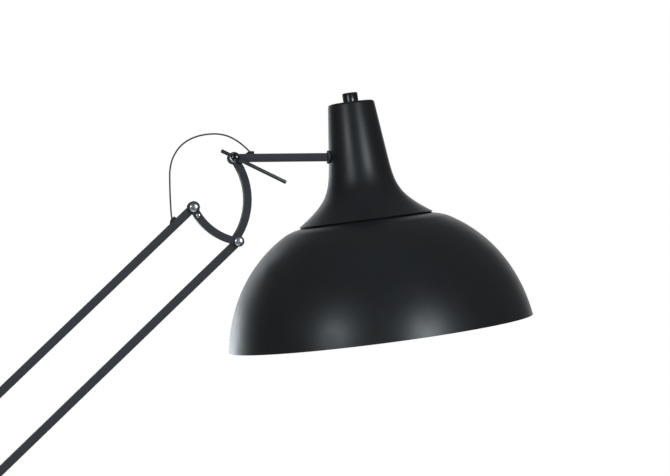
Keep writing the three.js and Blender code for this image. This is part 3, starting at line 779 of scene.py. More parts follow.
def pan_screw(node, shank_r, seat, turn):
    """A pan-head screw with a crowned top and a cross recess, turned to where it happened to stop."""
    middle, size = node_middle(node)
    low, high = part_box(node)
    head_r = size.x / 2
    top = -low.y
    head = top - seat
    tip = -high.y
    place = facing_front(middle.x, middle.z) @ Matrix.Rotation(math.radians(turn), 4, "Z")
    crown_steps = 8
    crown_turn = math.radians(78)
    crown_foot = 0.28
    crown_power = 0.8
    crown = []
    for step in range(crown_steps + 1):
        angle = crown_turn * step / crown_steps
        rise = crown_foot + (1 - crown_foot) * math.cos(angle) ** crown_power
        crown.append((head_r * math.sin(angle), seat + head * rise))
    crown[0] = (0, top)
    profile = [
        *crown,
        (head_r, seat + head * 0.34),
        (head_r, seat + head * 0.1),
        (head_r - 0.25 * MM, seat),
        *shank(shank_r, seat, tip),
    ]
    screw = turned(f"{node}_made", profile, place, ["zinc"], 48)
    wing_reach, wing_width, wing_depth = head_r * 0.5, head_r * 0.1, head * 0.45
    for quarter in (0, math.pi / 2):
        wing = place @ Matrix.Rotation(quarter, 4, "Z")
        carve(screw, recess_wing(wing, top, wing_reach, wing_width, wing_depth))
    stand_in(screw, node)


def hex_nut(node):
    """A hexagon nut with its corners chamfered, as it is threaded on from the back."""
    middle, size = node_middle(node)
    low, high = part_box(node)
    radius = max(size.x, size.z) / 2
    back, front = -high.y, -low.y
    flat_r = radius * math.cos(math.pi / 6)
    wide_r = radius * 1.01
    chamfer_r = flat_r * 0.96
    clear_r = flat_r * 0.7
    chamfer = (front - back) * 0.16
    place = facing_front(middle.x, middle.z)
    turn = Matrix.Rotation(math.pi / 6 if size.x < size.z else 0, 4, "Z")
    hexagon = [(SCREW_BORE, back), (radius, back), (radius, front), (SCREW_BORE, front)]
    nut = turned(f"{node}_made", hexagon, place @ turn, ["zinc"], 6)
    cone = [
        (0, back - MM),
        (clear_r, back - MM),
        (chamfer_r, back),
        (wide_r, back + chamfer),
        (wide_r, front - chamfer),
        (chamfer_r, front),
        (clear_r, front + MM),
        (0, front + MM),
    ]
    carve(nut, turned("cone", cone, place, ["zinc"], 72), "INTERSECT")
    stand_in(nut, node)


def ring_washer(node, finish_name):
    """A flat washer with a rolled-over edge."""
    middle, size = node_middle(node)
    low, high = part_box(node)
    radius = size.x / 2
    back, front = -high.y, -low.y
    profile = [(SCREW_BORE, back), (radius, back), (radius, front), (SCREW_BORE, front)]
    edge = bpy.context.scene.lamp_sizes.turned_edge
    place = facing_front(middle.x, middle.z)
    washer = turned(f"{node}_made", eased(profile, edge), place, [finish_name], 64)
    stand_in(washer, node)


# The angle in degrees at which each screw happened to stop.
PIVOT_SCREWS = {
    "pivot_a_screw": 24,
    "pivot_b_screw": 61,
    "foot_pivot_screw": 10,
    "hub_screw_lower": 75,
}
SMALL_SCREWS = {"head_tie_screw": 40, "foot_tie_screw": 5, "hub_screw_upper": 66}
NUTS = ("pivot_a_nut", "pivot_b_nut", "foot_pivot_nut", "foot_clamp_nut", "head_clamp_nut")


def build_fasteners():
    """Screws, washers and nuts at the eyes."""
    for node, turn in PIVOT_SCREWS.items():
        seat = CHEEK_FACE + (WASHER_THICK if node.startswith("pivot") else 0)
        pan_screw(node, SCREW_R, seat, turn)
    for node, turn in SMALL_SCREWS.items():
        pan_screw(node, SMALL_SCREW_R, CHEEK_FACE, turn)
    for node in NUTS:
        hex_nut(node)
    for node in ("pivot_a_washer", "pivot_b_washer"):
        ring_washer(node, "coat")
    for node in ("head_clamp_washer", "foot_clamp_washer"):
        ring_washer(node, "zinc")


# ---- Clamps ----
def clamp(end):
    """The round-nosed clamp screw and the bar through its head."""
    screw_node = f"{end}_clamp_screw"
    middle, size = node_middle(screw_node)
    low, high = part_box(screw_node)
    head_r = size.x / 2
    nose = -low.y
    seat = 8.9 * MM
    rim = 0.5 * MM
    nose_steps = 10
    nose_height = 3.4 * MM
    nose_power = 0.9
    profile = []
    for step in range(nose_steps + 1):
        angle = math.pi / 2 * step / nose_steps
        drop = nose_height * (1 - math.cos(angle) ** nose_power)
        profile.append((head_r * math.sin(angle) ** nose_power, nose - drop))
    profile[0] = (0, nose)
    profile += [(head_r, seat + rim), (head_r - rim, seat), *shank(SCREW_R, seat, -high.y)]
    screw = turned(f"{end}_clamp_head", profile, facing_front(middle.x, middle.z), ["gloss"], 72)
    bar_node = f"{end}_tommy_bar"
    bar_middle, bar_size = node_middle(bar_node)
    lean = abs(math.sin(HANDLE_SLOPE)) * 2 * HANDLE_R
    bar_length = (bar_size.x - lean) / math.cos(HANDLE_SLOPE)
    along = Matrix.Translation(bar_middle) @ Matrix.Rotation(math.pi / 2 - HANDLE_SLOPE, 4, "Y")
    hole_r = HANDLE_R + 0.1 * MM
    hole_half = 9 * MM
    hole = [(0, -hole_half), (hole_r, -hole_half), (hole_r, hole_half), (0, hole_half)]
    across_head = Matrix.Translation((middle.x, bar_middle.y, middle.z)) @ along.to_3x3().to_4x4()
    carve(screw, turned("hole", hole, across_head, ["gloss"], 40))
    stand_in(screw, screw_node)
    half = bar_length / 2
    chamfer = 0.35 * MM
    rod = [
        (0, -half),
        (HANDLE_R - chamfer, -half),
        (HANDLE_R, -half + chamfer),
        (HANDLE_R, half - chamfer),
        (HANDLE_R - chamfer, half),
        (0, half),
    ]
    bar = turned(f"{end}_clamp_bar", eased(rod, 0.15 * MM, 2, False), along, ["bar"], 40)
    stand_in(bar, bar_node)


# ---- Lead and grommets ----
def spline(points, steps):
    """A smooth line through the points, by centripetal spans, with its points evenly spread by span."""
    points = [Vector(point) for point in points]
    first = points[0] * 2 - points[1]
    last = points[-1] * 2 - points[-2]
    padded = [first, *points, last]
    line = []
    for index in range(1, len(padded) - 2):
        p0, p1, p2, p3 = padded[index - 1 : index + 3]
        t1 = (p1 - p0).length ** 0.5
        t2 = t1 + (p2 - p1).length ** 0.5
        t3 = t2 + (p3 - p2).length ** 0.5
        for step in range(steps):
            t = t1 + (t2 - t1) * step / steps
            a1 = p0 * ((t1 - t) / t1) + p1 * (t / t1)
            a2 = p1 * ((t2 - t) / (t2 - t1)) + p2 * ((t - t1) / (t2 - t1))
            a3 = p2 * ((t3 - t) / (t3 - t2)) + p3 * ((t - t2) / (t3 - t2))
            b1 = a1 * ((t2 - t) / t2) + a2 * (t / t2)
            b2 = a2 * ((t3 - t) / (t3 - t1)) + a3 * ((t - t1) / (t3 - t1))
            line.append(b1 * ((t2 - t) / (t2 - t1)) + b2 * ((t - t1) / (t2 - t1)))
    line.append(points[-1])
    return line


def tube_along(name, line, radius, finish_name, sides=16):
    """A round tube along a line in the lamp's plane, closed at both ends."""
    work = bmesh.new()
    rings = []
    across = Vector((0, 1, 0))
    for index, point in enumerate(line):
        ahead = line[min(index + 1, len(line) - 1)]
        behind = line[max(index - 1, 0)]
        out = (ahead - behind).normalized().cross(across)
        ring = []
        for step in range(sides):
            angle = 2 * math.pi * step / sides
            offset = out * math.cos(angle) + across * math.sin(angle)
            ring.append(work.verts.new(point + offset * radius))
        rings.append(ring)
    skin(work, rings)
    return made_piece(name, work, [finish_name])


def bent_lead(name, line, node):
    """A stretch of lead, curved between the two bodies that hold it; it rides on neither."""
    piece = tube_along(name, line, LEAD_R, "jacket")
    soften(piece)
    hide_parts(node)
    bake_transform(piece)


def from_eye(eye, x, z):
    """A point in the lamp's plane, in millimetres from an eye."""
    return Vector((eye.x + x * MM, 0, eye.z + z * MM))


def over_bar(eye, along, out):
    """A point along the upper bar from an eye, and out from its middle line."""
    return eye + BAR_WAY * along + BAR_OUT * out


def lead_routes():
    """The lead's two loops, as in the CAD. The head loop is one line, parted at its highest point."""
    out = TUBE / 2 + GROMMET_HEIGHT - 0.6 * MM
    lift = TUBE / 2 + GROMMET_HEIGHT + GAP
    apex = from_eye(EYE_A, 26, 90)
    arm_out = Vector((-ARM_AXIS.z, 0, ARM_AXIS.x))
    head_top = EYE_C + ARM_AXIS * HEAD_GROMMET_PITCH + arm_out * out
    head = [
        over_bar(EYE_A, -BAR_GROMMET_PITCH, out),
        from_eye(EYE_A, -27, -6),
        from_eye(EYE_A, -28, 11),
        from_eye(EYE_A, -28.6, 30),
        from_eye(EYE_A, -28.4, 45),
        from_eye(EYE_A, -25.3, 59),
        from_eye(EYE_A, -17, 73),
        from_eye(EYE_A, -6, 82),
        from_eye(EYE_A, 8.5, 87.8),
        apex,
        apex + Vector((12, 0, -1.3)) * MM,
        apex + Vector((22, 0, -5)) * MM,
        apex + Vector((33, 0, -12)) * MM,
        head_top,
    ]
    foot = [
        over_bar(FOOT_EYE_B, BAR_GROMMET_PITCH, out),
        over_bar(FOOT_EYE_B, BAR_GROMMET_PITCH - 1.5 * MM, lift + 6 * MM),
        from_eye(FOOT_EYE_B, -14, 44),
        from_eye(FOOT_EYE_B, -34, 34),
        from_eye(FOOT_EYE_B, -46, 8),
        from_eye(FOOT_EYE_B, -48, -36),
        from_eye(FOOT_EYE_B, -42, -82),
        from_eye(FOOT_EYE_B, -31, -113),
        LEAD_DUCT + Vector((-5.7, 0, 1.5)) * MM,
        LEAD_DUCT + Vector((0.6, 0, 0)) * MM,
    ]
    return head, 9, foot


def grommet(node, place):
    """A rubber strain relief: a block, steep at its back and sloped where the lead leaves it."""
    # Each level: its height, how far it reaches back and forward, and its half width, in millimetres.
    levels = (
        (0.1, 4.8, 5.2, 4.4),
        (0.3, 5.0, 5.4, 4.6),
        (0.9, 5.0, 5.0, 4.6),
        (2.2, 5.0, 3.2, 4.3),
        (2.9, 4.8, 2.0, 4.0),
        (3.2, 4.4, 1.5, 3.5),
        (3.3, 3.6, 1.0, 2.8),
    )
    sides = 48
    # Below 1 the outline is squarer than an ellipse.
    squareness = 0.55
    work = bmesh.new()
    rings = []
    for height, back, front, width in levels:
        ring = []
        for step in range(sides):
            angle = 2 * math.pi * step / sides
            cosine = math.copysign(abs(math.cos(angle)) ** squareness, math.cos(angle))
            sine = math.copysign(abs(math.sin(angle)) ** squareness, math.sin(angle))
            x = (back if cosine > 0 else front) * cosine
            point = Vector((x, width * sine, height)) * MM
            ring.append(work.verts.new(place @ point))
        rings.append(ring)
    skin(work, rings)
    stand_in(made_piece(f"{node}_made", work, ["rubber"]), node)


def build_leads():
    """The lead's loops and the grommets they pass through."""
    head, parting, foot = lead_routes()
    steps = 12
    head_line = spline(head, steps)
    split = parting * steps
    bent_lead("head_loop_low", head_line[: split + 1], "lead_head_low")
    bent_lead("head_loop_high", head_line[split:], "lead_head_high")
    bent_lead("foot_loop", spline(foot, steps), "lead_foot")
    bar_turn = Matrix.Rotation(-math.atan2(BAR_WAY.z, BAR_WAY.x), 4, "Y")
    on_top = Matrix.Translation((0, 0, TUBE / 2))
    foot_place = Matrix.Translation(over_bar(FOOT_EYE_B, BAR_GROMMET_PITCH, 0)) @ bar_turn @ on_top
    head_place = Matrix.Translation(over_bar(EYE_A, -BAR_GROMMET_PITCH, 0)) @ bar_turn @ on_top
    arm_place = HEAD_ARM_PLACE @ Matrix.Translation((HEAD_GROMMET_PITCH, 0, 0)) @ on_top
    duct_turn = Matrix.Rotation(-math.pi / 2, 4, "Y")
    hub_place = Matrix.Translation(LEAD_DUCT + Vector((3.3, 0, 0)) * MM) @ duct_turn
    for node, place in (
        ("arm_grommet_foot", foot_place),
        ("arm_grommet_head", head_place),
        ("head_arm_grommet", arm_place),
        ("hub_grommet", hub_place),
    ):
        grommet(node, place)


# ---- Shade ----
def dome_side(inset, steps):
    """The dome's section from its rim up: a super-ellipse that flattens into the seat of the neck."""
    power = 2 / DOME_POWER
    width = DOME_RADIUS - inset
    height = DOME_HEIGHT - inset
    first = math.asin((DOME_SINK / height) ** (1 / power))
    last = math.acos((DOME_SHOULDER_R / DOME_RADIUS) ** (1 / power))
    points = []
    for step in range(steps + 1):
        angle = first + (last - first) * step / steps
        radius = width * math.cos(angle) ** power
        points.append((radius, height * math.sin(angle) ** power - DOME_SINK))
    for radius, height in (
        SEAT_OUTER,
        (SEAM_R, SEAM_T),
        (FLANGE_R, FLANGE_T),
        (NECK_HOLE_R, FLANGE_T),
    ):
        points.append((radius, height - inset))
    return points


def cubic(start, first, second, end, steps):
    """Points along a cubic curve, both ends among them."""
    points = []
    for step in range(steps + 1):
        t = step / steps
        weights = ((1 - t) ** 3, 3 * t * (1 - t) ** 2, 3 * t * t * (1 - t), t**3)
        corners = (start, first, second, end)
        points.append(tuple(sum(w * c[axis] for w, c in zip(weights, corners)) for axis in (0, 1)))
    return points


def neck_side(offset, steps=40):
    """The neck's section from its lip up to the cone's top, moved in by an offset."""
    flare = cubic(
        (SEAM_R, SEAM_T + NECK_WALL + NECK_SEAT),
        FLARE_LOW,
        FLARE_HIGH,
        CONE_FOOT,
        steps,
    )
    moved = []
    for index, point in enumerate(flare):
        ahead = Vector(flare[min(index + 1, steps)])
        behind = Vector(flare[max(index - 1, 0)])
        way = (ahead - behind).normalized()
        moved.append((point[0] + way.y * offset, point[1] - way.x * offset))
    moved.append((CONE_TOP[0] + offset, CONE_TOP[1]))
    return moved


def build_shade():
    """The spun dome, the neck, and the rings that hold them together."""
    side_steps = 56
    outside = dome_side(0, side_steps)
    inside = dome_side(DOME_WALL, side_steps)[::-1]
    section = [*outside, *inside]
    dome = turned("shade_dome", section, SHADE_PLACE, ["lacquer", "enamel"], 192, len(outside))
    # The rim's own edge is lacquered like the outside.
    rim_height = outside[0][1] + 0.2 * MM
    back = SHADE_PLACE.inverted()
    for face in dome.data.polygons:
        if (back @ face.center).z < rim_height:
            face.material_index = 0
    stand_in(dome, "dome")

    # The neck's crown: how far in from the cone's top, and how far under the neck's top.
    crown_levels = ((0.25, 1.9), (0.9, 0.9), (1.8, 0.25), (3, 0))
    crown = [(CONE_TOP[0] - inward * MM, NECK_TOP_T - down * MM) for inward, down in crown_levels]
    spindle_hole_r = 4.7 * MM
    crown += [
        (spindle_hole_r, NECK_TOP_T),
        (spindle_hole_r, NECK_TOP_T - NECK_WALL),
        (CONE_TOP[0] - 3.6 * MM, NECK_TOP_T - NECK_WALL),
    ]
    section = [*neck_side(0), *crown, *neck_side(-NECK_WALL)[::-1]]
    neck = turned("shade_neck", section, SHADE_PLACE, ["lacquer"], 160)
    stand_in(neck, "neck")

    gallery_bore = 48.5 * MM
    gallery_spigot = 50 * MM
    gallery_foot = FLANGE_T + GAP
    gallery_top = gallery_foot + 2.6 * MM
    gallery = [
        (gallery_bore, FLANGE_T - 7 * MM),
        (gallery_spigot, FLANGE_T - 7 * MM),
        (gallery_spigot, gallery_foot),
        (76 * MM, gallery_foot),
        (72.5 * MM, gallery_top),
        (gallery_bore, gallery_top),
    ]
    ring = turned("neck_gallery", eased(gallery, 0.4 * MM, 3), SHADE_PLACE, ["coat"], 128)
    soften(ring)
    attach(ring, body_name("neck"))

    ring_bore = 50.4 * MM
    ring_r = 60 * MM
    ring_top = FLANGE_T - DOME_WALL - GAP
    ring_foot = ring_top - 5 * MM
    lock = [(ring_bore, ring_foot), (ring_r, ring_foot), (ring_r, ring_top), (ring_bore, ring_top)]
    lock_ring = turned("dome_lock_ring", eased(lock, 0.5 * MM, 3), SHADE_PLACE, ["coat"], 128)
    stand_in(lock_ring, "dome_ring")
    dress("neck_washer", "coat", 0.25 * MM)
    dress("arm_nipple", "zinc", 0.2 * MM)
    dress("nipple_nut", "zinc", 0.4 * MM)


def bulb_side(inset):
    """The bulb's section from its crown to its foot: a ball that runs into a neck."""
    ball_steps = 24
    ball_turn = 111
    middle = BULB_CROWN_T + BULB_R
    radius = BULB_R - inset
    points = [(0, middle - radius)]
    for step in range(1, ball_steps + 1):
        angle = math.radians(-90 + ball_turn * step / ball_steps)
        points.append((radius * math.cos(angle), middle + radius * math.sin(angle)))
    neck = cubic(
        points[-1],
        (23.5 * MM - inset, middle + 24 * MM),
        (13.5 * MM - inset, middle + 40 * MM),
        (12.8 * MM - inset, middle + 77 * MM),
        20,
    )
    return points + neck[1:]


def build_light_source():
    """The holder, the bulb, the dimmer's body and its knob."""
    for node, finish_name, edge in (
        ("holder_strap", "zinc", 0.2),
        ("lampholder", "nylon", 0.3),
        ("bulb_cap", "brass", 0.2),
        ("switch_body", "nylon", 0.3),
        ("switch_nut", "zinc", 0.2),
    ):
        dress(node, finish_name, edge * MM)

    glass = turned(
        "bulb", [*bulb_side(0), *bulb_side(BULB_WALL)[::-1]], SHADE_PLACE, ["opal"], 96
    )
    stand_in(glass, "bulb_glass")

    low = NECK_TOP_T + 0.6 * MM
    skirt_r = 7.4 * MM
    spindle_r = 3.15 * MM
    skirt_top = NECK_TOP_T + 4 * MM
    edge = 0.3 * MM
    dish_depth = 0.35 * MM
    bore_top = KNOB_TOP_T - 2.6 * MM
    outline = [
        (skirt_r, low),
        (KNOB_R - edge, low),
        (KNOB_R, low + edge),
        (KNOB_R, KNOB_TOP_T - 1.1 * MM),
        (KNOB_R - edge, KNOB_TOP_T - 0.45 * MM),
        (KNOB_R - 1.1 * MM, KNOB_TOP_T),
        (KNOB_R - 2.6 * MM, KNOB_TOP_T),
        (KNOB_R - 3.1 * MM, KNOB_TOP_T - dish_depth),
        (0, KNOB_TOP_T - dish_depth),
        (0, bore_top),
        (spindle_r, bore_top),
        (spindle_r, skirt_top),
        (skirt_r, skirt_top),
    ]
    stand_in(turned("dimmer", outline, SHADE_PLACE, ["knob"], 96), "switch_knob")


# ---- Base and post ----
def build_base():
    """The weighted base, its cover, the post and the swivel hub."""
    edge = bpy.context.scene.lamp_sizes.turned_edge
    base_r = 158 * MM
    edge_z = 22 * MM
    top_z = 31.5 * MM
    collar_r = 12.9 * MM
    wall = 1.5 * MM
    lip_z = 1 * MM
    shoulder = cubic(
        (base_r, edge_z - 2 * MM),
        (base_r, edge_z + 4.6 * MM),
        (base_r - 3.2 * MM, edge_z + 6.4 * MM),
        (base_r - 8 * MM, edge_z + 6.75 * MM),
        14,
    )
    boss = cubic(
        (28 * MM, top_z + 2.5 * MM),
        (20 * MM, top_z + 3 * MM),
        (17.5 * MM, top_z + 6.4 * MM),
        (collar_r + 1.9 * MM, top_z + 8 * MM),
        12,
    )
    cover = [
        (base_r - wall, lip_z),
        (base_r - 0.2 * MM, lip_z),
        (base_r, lip_z + 0.2 * MM),
        *shoulder,
        *boss,
        (collar_r, top_z + 8.5 * MM),
        (collar_r, top_z + 6 * MM),
        (24.5 * MM, top_z + 0.9 * MM),
        (base_r - 6 * MM, edge_z + 5.4 * MM),
        (base_r - wall - 1.2 * MM, edge_z + 3.2 * MM),
        (base_r - wall, edge_z),
    ]
    shell = turned("base_shell", cover, Matrix.Identity(4), ["coat"], 160)
    stand_in(shell, "base_cover")
    for node, finish_name, rounding in (
        ("base_pad", "rubber", 0.6 * MM),
        ("base_weight", "iron", 0.8 * MM),
        ("post_fixing_bolt", "zinc", 0.3 * MM),
        ("post_foot_plug", "zinc", 0.3 * MM),
        ("post_tube", "coat", 0),
        ("post_top_bush", "nylon", edge),
        ("swivel_hub", "coat", edge),
    ):
        dress(node, finish_name, rounding)

    gland_z = 14 * MM
    gland_place = Matrix.Translation((-base_r, 0, gland_z)) @ Matrix.Rotation(-math.pi / 2, 4, "Y")
    bore = 3.2 * MM
    spigot_r = 6 * MM
    flange_r = 8.5 * MM
    gland_end = 15 * MM
    outline = [
        (bore, -3 * MM),
        (spigot_r, -3 * MM),
        (spigot_r, GAP),
        (flange_r, GAP),
        (flange_r, 2.6 * MM),
        (flange_r - 0.5 * MM, 3.1 * MM),
        (6.2 * MM, 3.6 * MM),
    ]
    # The ribs get smaller towards the tip.
    rib_count = 5
    rib_pitch = 2.1 * MM
    rib_taper = 0.28 * MM
    groove = 1.1 * MM
    for rib in range(rib_count):
        start = 4.2 * MM + rib_pitch * rib
        outer = spigot_r - rib_taper * rib
        outline += [(outer, start), (outer, start + 1.1 * MM)]
        outline += [(outer - groove, start + 1.3 * MM), (outer - groove, start + 1.9 * MM)]
    outline += [(4.5 * MM, gland_end), (bore, gland_end)]
    gland = turned("mains_gland", eased(outline, 0.2 * MM, 2), gland_place, ["rubber"], 48)
    stand_in(gland, "cord_gland")


# ---- Studio ----
VIEW_AZIMUTH = math.radians(-10)
VIEW_DROP = 0.024
# Right of and below the head clamp's eye, near the middle of the head end.
LOOK_AT = EYE_C + Vector((0.1262, 0, -0.0976))
LIGHT_RANGE = 2.4
PANEL_SIZE = 1.1
PANEL_BEHIND = math.radians(180 + 37)
PANEL_DROP = 0.35
PANEL_TOP_SHARE = 0.22
BOX_SIZE = (0.6, 0.7)
BOX_RISE = 0.5
BOXES = {"left_box": (-35, 0.9), "right_box": (31, 1.85)}
SKY_WAY = (0.2, 0.4, -2.2)
SKY_SPREAD = math.radians(50)
PALE_FLOOR = "dfdbd6"
COOL = "eef8ff"
FLOOR_RADIUS = 4.0
FLOOR_FADE = (0.6, 3.8)


def build_camera(settings):
    """The camera, a little to the left of the lamp and almost level."""
    data = bpy.data.cameras.new("camera")
    data.lens = settings.lens
    camera = bpy.data.objects.new("camera", data)
    bpy.context.scene.collection.objects.link(camera)
    back = Vector((math.sin(VIEW_AZIMUTH), -math.cos(VIEW_AZIMUTH), 0)) * settings.distance
    camera.location = LOOK_AT + back - Vector((0, 0, VIEW_DROP))
    camera.rotation_mode = "QUATERNION"
    camera.rotation_quaternion = (LOOK_AT - camera.location).to_track_quat("-Z", "Y")
    data.clip_start = 0.05
    bpy.context.scene.camera = camera


def add_light(name, kind, power, way):
    """A light that shines along a way and isn't seen itself."""
    data = bpy.data.lights.new(name, kind)
    data.energy = power
    data.color = to_linear(COOL)[:3]
    light = bpy.data.objects.new(name, data)
    bpy.context.scene.collection.objects.link(light)
    light.rotation_mode = "QUATERNION"
    light.rotation_quaternion = Vector(way).to_track_quat("-Z", "Y")
    light.visible_camera = False
    return light


def soft_panel(name, place, aim, width, height, power):
    """A soft rectangular light at a place, turned to a point."""
    light = add_light(name, "AREA", power, aim - place)
    light.location = place
    light.data.shape = "RECTANGLE"
    light.data.size = width
    light.data.size_y = height


def build_world():
    """White where it is looked at. As light it is bright behind the lamp and dim in front of it."""
    world = bpy.data.worlds.new("white_sweep")
    bpy.context.scene.world = world
    world.use_nodes = True
    tree = world.node_tree
    tree.nodes.clear()
    way = add_node(tree, "ShaderNodeTexCoord").outputs["Generated"]
    ahead = (-math.sin(VIEW_AZIMUTH), math.cos(VIEW_AZIMUTH), 0)
    front_light = 0.13
    facing = add_node(
        tree, "ShaderNodeVectorMath", {0: way, 1: ahead}, operation="DOT_PRODUCT"
    ).outputs["Value"]
    depth = add_node(
        tree,
        "ShaderNodeMapRange",
        {"Value": facing, "From Min": 0.8, "From Max": 0.96, "To Min": front_light, "To Max": 1.0},
        interpolation_type="SMOOTHSTEP",
    ).outputs["Result"]
    dim = add_node(tree, "ShaderNodeBackground", {"Color": (1, 1, 1, 1), "Strength": depth})
    seen = add_node(tree, "ShaderNodeBackground", {"Color": (1, 1, 1, 1), "Strength": 1.0})
    looked_at = add_node(tree, "ShaderNodeLightPath").outputs["Is Camera Ray"]
    mixed = add_node(
        tree,
        "ShaderNodeMixShader",
        {0: looked_at, 1: dim.outputs["Background"], 2: seen.outputs["Background"]},
    )
    add_node(tree, "ShaderNodeOutputWorld", {"Surface": mixed.outputs["Shader"]})


def build_floor():
    """A pale round floor that fades into the white behind it."""
    work = bmesh.new()
    bmesh.ops.create_circle(work, cap_ends=True, radius=FLOOR_RADIUS, segments=96)
    mesh = bpy.data.meshes.new("floor")
    work.to_mesh(mesh)
    work.free()
    floor = bpy.data.objects.new("floor", mesh)
    bpy.context.scene.collection.objects.link(floor)
    floor.location.z = CAD_LOW.z - 0.2 * MM
    base = to_linear(PALE_FLOOR)
    material, tree, shader, place = start_material("pale_floor_paint", base, 0.6)
    surface_detail(tree, shader, place, tint=(0.4, 3, shaded(base, 0.98), base))
    away = add_node(tree, "ShaderNodeVectorMath", {0: place}, operation="LENGTH").outputs["Value"]
    fade = add_node(
        tree,
        "ShaderNodeMapRange",
        {
            "Value": away,
            "From Min": FLOOR_FADE[0],
            "From Max": FLOOR_FADE[1],
            "To Min": 1.0,
            "To Max": 0.0,
        },
        interpolation_type="SMOOTHSTEP",
    ).outputs["Result"]
    tree.links.new(fade, shader.inputs["Alpha"])
    mesh.materials.append(material)


def around(centre, turn, rise):
    """A light's place, turned about the centre from the camera's side."""
    return centre + Vector((math.sin(turn) * LIGHT_RANGE, -math.cos(turn) * LIGHT_RANGE, rise))


def build_lights(settings):
    """A tall panel behind on the left, a softbox on each side of the camera, and light from above."""
    shade_heart = SHADE_PLACE @ Vector((0, 0, 60 * MM))
    low_panel = around(shade_heart, VIEW_AZIMUTH + PANEL_BEHIND, -PANEL_DROP)
    high_panel = low_panel + Vector((0, 0, PANEL_SIZE))
    power = settings.left_panel
    soft_panel("left_panel", low_panel, shade_heart, PANEL_SIZE, PANEL_SIZE, power)
    power *= PANEL_TOP_SHARE
    soft_panel("left_panel_top", high_panel, shade_heart, PANEL_SIZE, PANEL_SIZE, power)
    for name, (angle, share) in BOXES.items():
        place = around(shade_heart, VIEW_AZIMUTH + math.radians(angle), BOX_RISE)
        soft_panel(name, place, shade_heart, *BOX_SIZE, settings.front_boxes * share)
    # The light from above is even over the lamp and the whole floor, and adds no highlights.
    sky = add_light("sky", "SUN", settings.sky, SKY_WAY)
    sky.data.angle = SKY_SPREAD
    sky.visible_glossy = False


def build_studio():
    """The camera, the floor, the white surround and the soft lights."""
    settings = bpy.context.scene.lamp_studio
    bpy.context.scene.view_settings.view_transform = "Standard"
    build_camera(settings)
    build_world()
    build_floor()
    build_lights(settings)


# ---- Operators and panel ----
class LAMP_OT_studio(bpy.types.Operator):
    """Adds the camera, the pale floor, the white surround and the soft lights"""

    bl_idname = "lamp.studio"
    bl_label = "Studio"

    def execute(self, context):
        build_studio()
        return {"FINISHED"}


class LAMP_OT_base(bpy.types.Operator):
    """Finishes the weighted base, its cover, the post and the swivel hub"""

    bl_idname = "lamp.base"
    bl_label = "Base and post"

    def execute(self, context):
        build_base()
        return {"FINISHED"}


class LAMP_OT_tubes(bpy.types.Operator):
    """Makes the two long bars and the head arm with rolled corners"""

    bl_idname = "lamp.tubes"
    bl_label = "Arm tubes"

    def execute(self, context):
        build_tubes()
        return {"FINISHED"}


class LAMP_OT_brackets(bpy.types.Operator):
    """Finishes the pressed cheeks and the curved bars between them"""

    bl_idname = "lamp.brackets"
    bl_label = "Brackets"

    def execute(self, context):
        build_brackets()
        return {"FINISHED"}


class LAMP_OT_fasteners(bpy.types.Operator):
    """Makes the screws, washers and nuts at the eyes"""

    bl_idname = "lamp.fasteners"
    bl_label = "Screws and nuts"

    def execute(self, context):
        build_fasteners()
        return {"FINISHED"}


class LAMP_OT_clamps(bpy.types.Operator):
    """Makes both clamp screws and the bars through their heads"""

    bl_idname = "lamp.clamps"
    bl_label = "Clamp handles"

    def execute(self, context):
        for end in ("head", "foot"):
            clamp(end)
        return {"FINISHED"}


class LAMP_OT_leads(bpy.types.Operator):
    """Makes the lead's two loops and their grommets"""

    bl_idname = "lamp.leads"
    bl_label = "Lead"

    def execute(self, context):
        build_leads()
        return {"FINISHED"}


class LAMP_OT_shade(bpy.types.Operator):
    """Makes the spun dome, the neck and the rings that join them"""

    bl_idname = "lamp.shade"
    bl_label = "Shade"

    def execute(self, context):
        build_shade()
        return {"FINISHED"}


class LAMP_OT_light_source(bpy.types.Operator):
    """Makes the holder, the bulb and the dimmer"""

    bl_idname = "lamp.light_source"
    bl_label = "Light source"

    def execute(self, context):
        build_light_source()
        return {"FINISHED"}


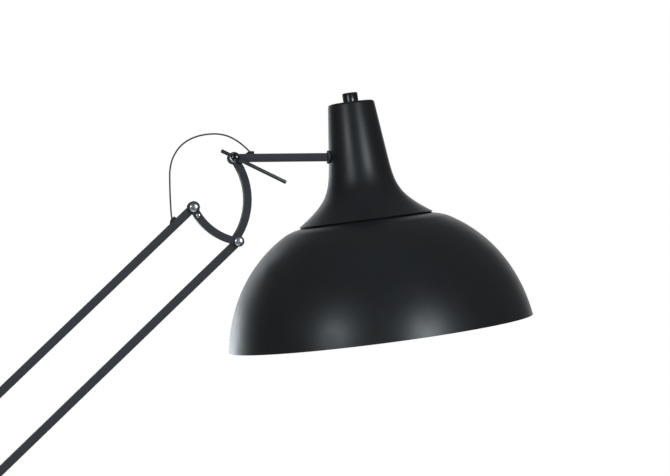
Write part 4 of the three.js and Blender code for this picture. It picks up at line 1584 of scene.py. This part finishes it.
class LAMP_PT_panel(bpy.types.Panel):
    """Lists the lamp's sizes, finishes, lights and steps"""

    bl_idname = "LAMP_PT_panel"
    bl_label = "Adjustable arm floor lamp"
    bl_space_type = "VIEW_3D"
    bl_region_type = "UI"
    bl_category = "Lamp"

    def draw(self, context):
        scene = context.scene
        for heading, group in (
            ("Sizes", scene.lamp_sizes),
            ("Colours", scene.lamp_colours),
            ("Studio", scene.lamp_studio),
        ):
            box = self.layout.box()
            box.label(text=heading)
            for key in group.__annotations__:
                box.prop(group, key)
        for operator in OPERATORS:
            self.layout.operator(operator.bl_idname)


OPERATORS = (
    LAMP_OT_studio,
    LAMP_OT_base,
    LAMP_OT_tubes,
    LAMP_OT_brackets,
    LAMP_OT_fasteners,
    LAMP_OT_clamps,
    LAMP_OT_leads,
    LAMP_OT_shade,
    LAMP_OT_light_source,
)
GROUPS = (LampSizes, LampColours, LampStudio)


def register():
    """Adds the properties, operators and panel."""
    for group in GROUPS:
        bpy.utils.register_class(group)
    bpy.types.Scene.lamp_sizes = PointerProperty(type=LampSizes)
    bpy.types.Scene.lamp_colours = PointerProperty(type=LampColours)
    bpy.types.Scene.lamp_studio = PointerProperty(type=LampStudio)
    for operator in OPERATORS:
        bpy.utils.register_class(operator)
    bpy.utils.register_class(LAMP_PT_panel)


def unregister():
    """Takes them away again."""
    bpy.utils.unregister_class(LAMP_PT_panel)
    for operator in reversed(OPERATORS):
        bpy.utils.unregister_class(operator)
    del bpy.types.Scene.lamp_studio
    del bpy.types.Scene.lamp_colours
    del bpy.types.Scene.lamp_sizes
    for group in reversed(GROUPS):
        bpy.utils.unregister_class(group)


def main():
    """Builds the whole lamp."""
    register()
    bpy.ops.lamp.studio()
    bpy.ops.lamp.base()
    bpy.ops.lamp.tubes()
    bpy.ops.lamp.brackets()
    bpy.ops.lamp.fasteners()
    bpy.ops.lamp.clamps()
    bpy.ops.lamp.leads()
    bpy.ops.lamp.shade()
    bpy.ops.lamp.light_source()


if __name__ == "__main__":
    main()
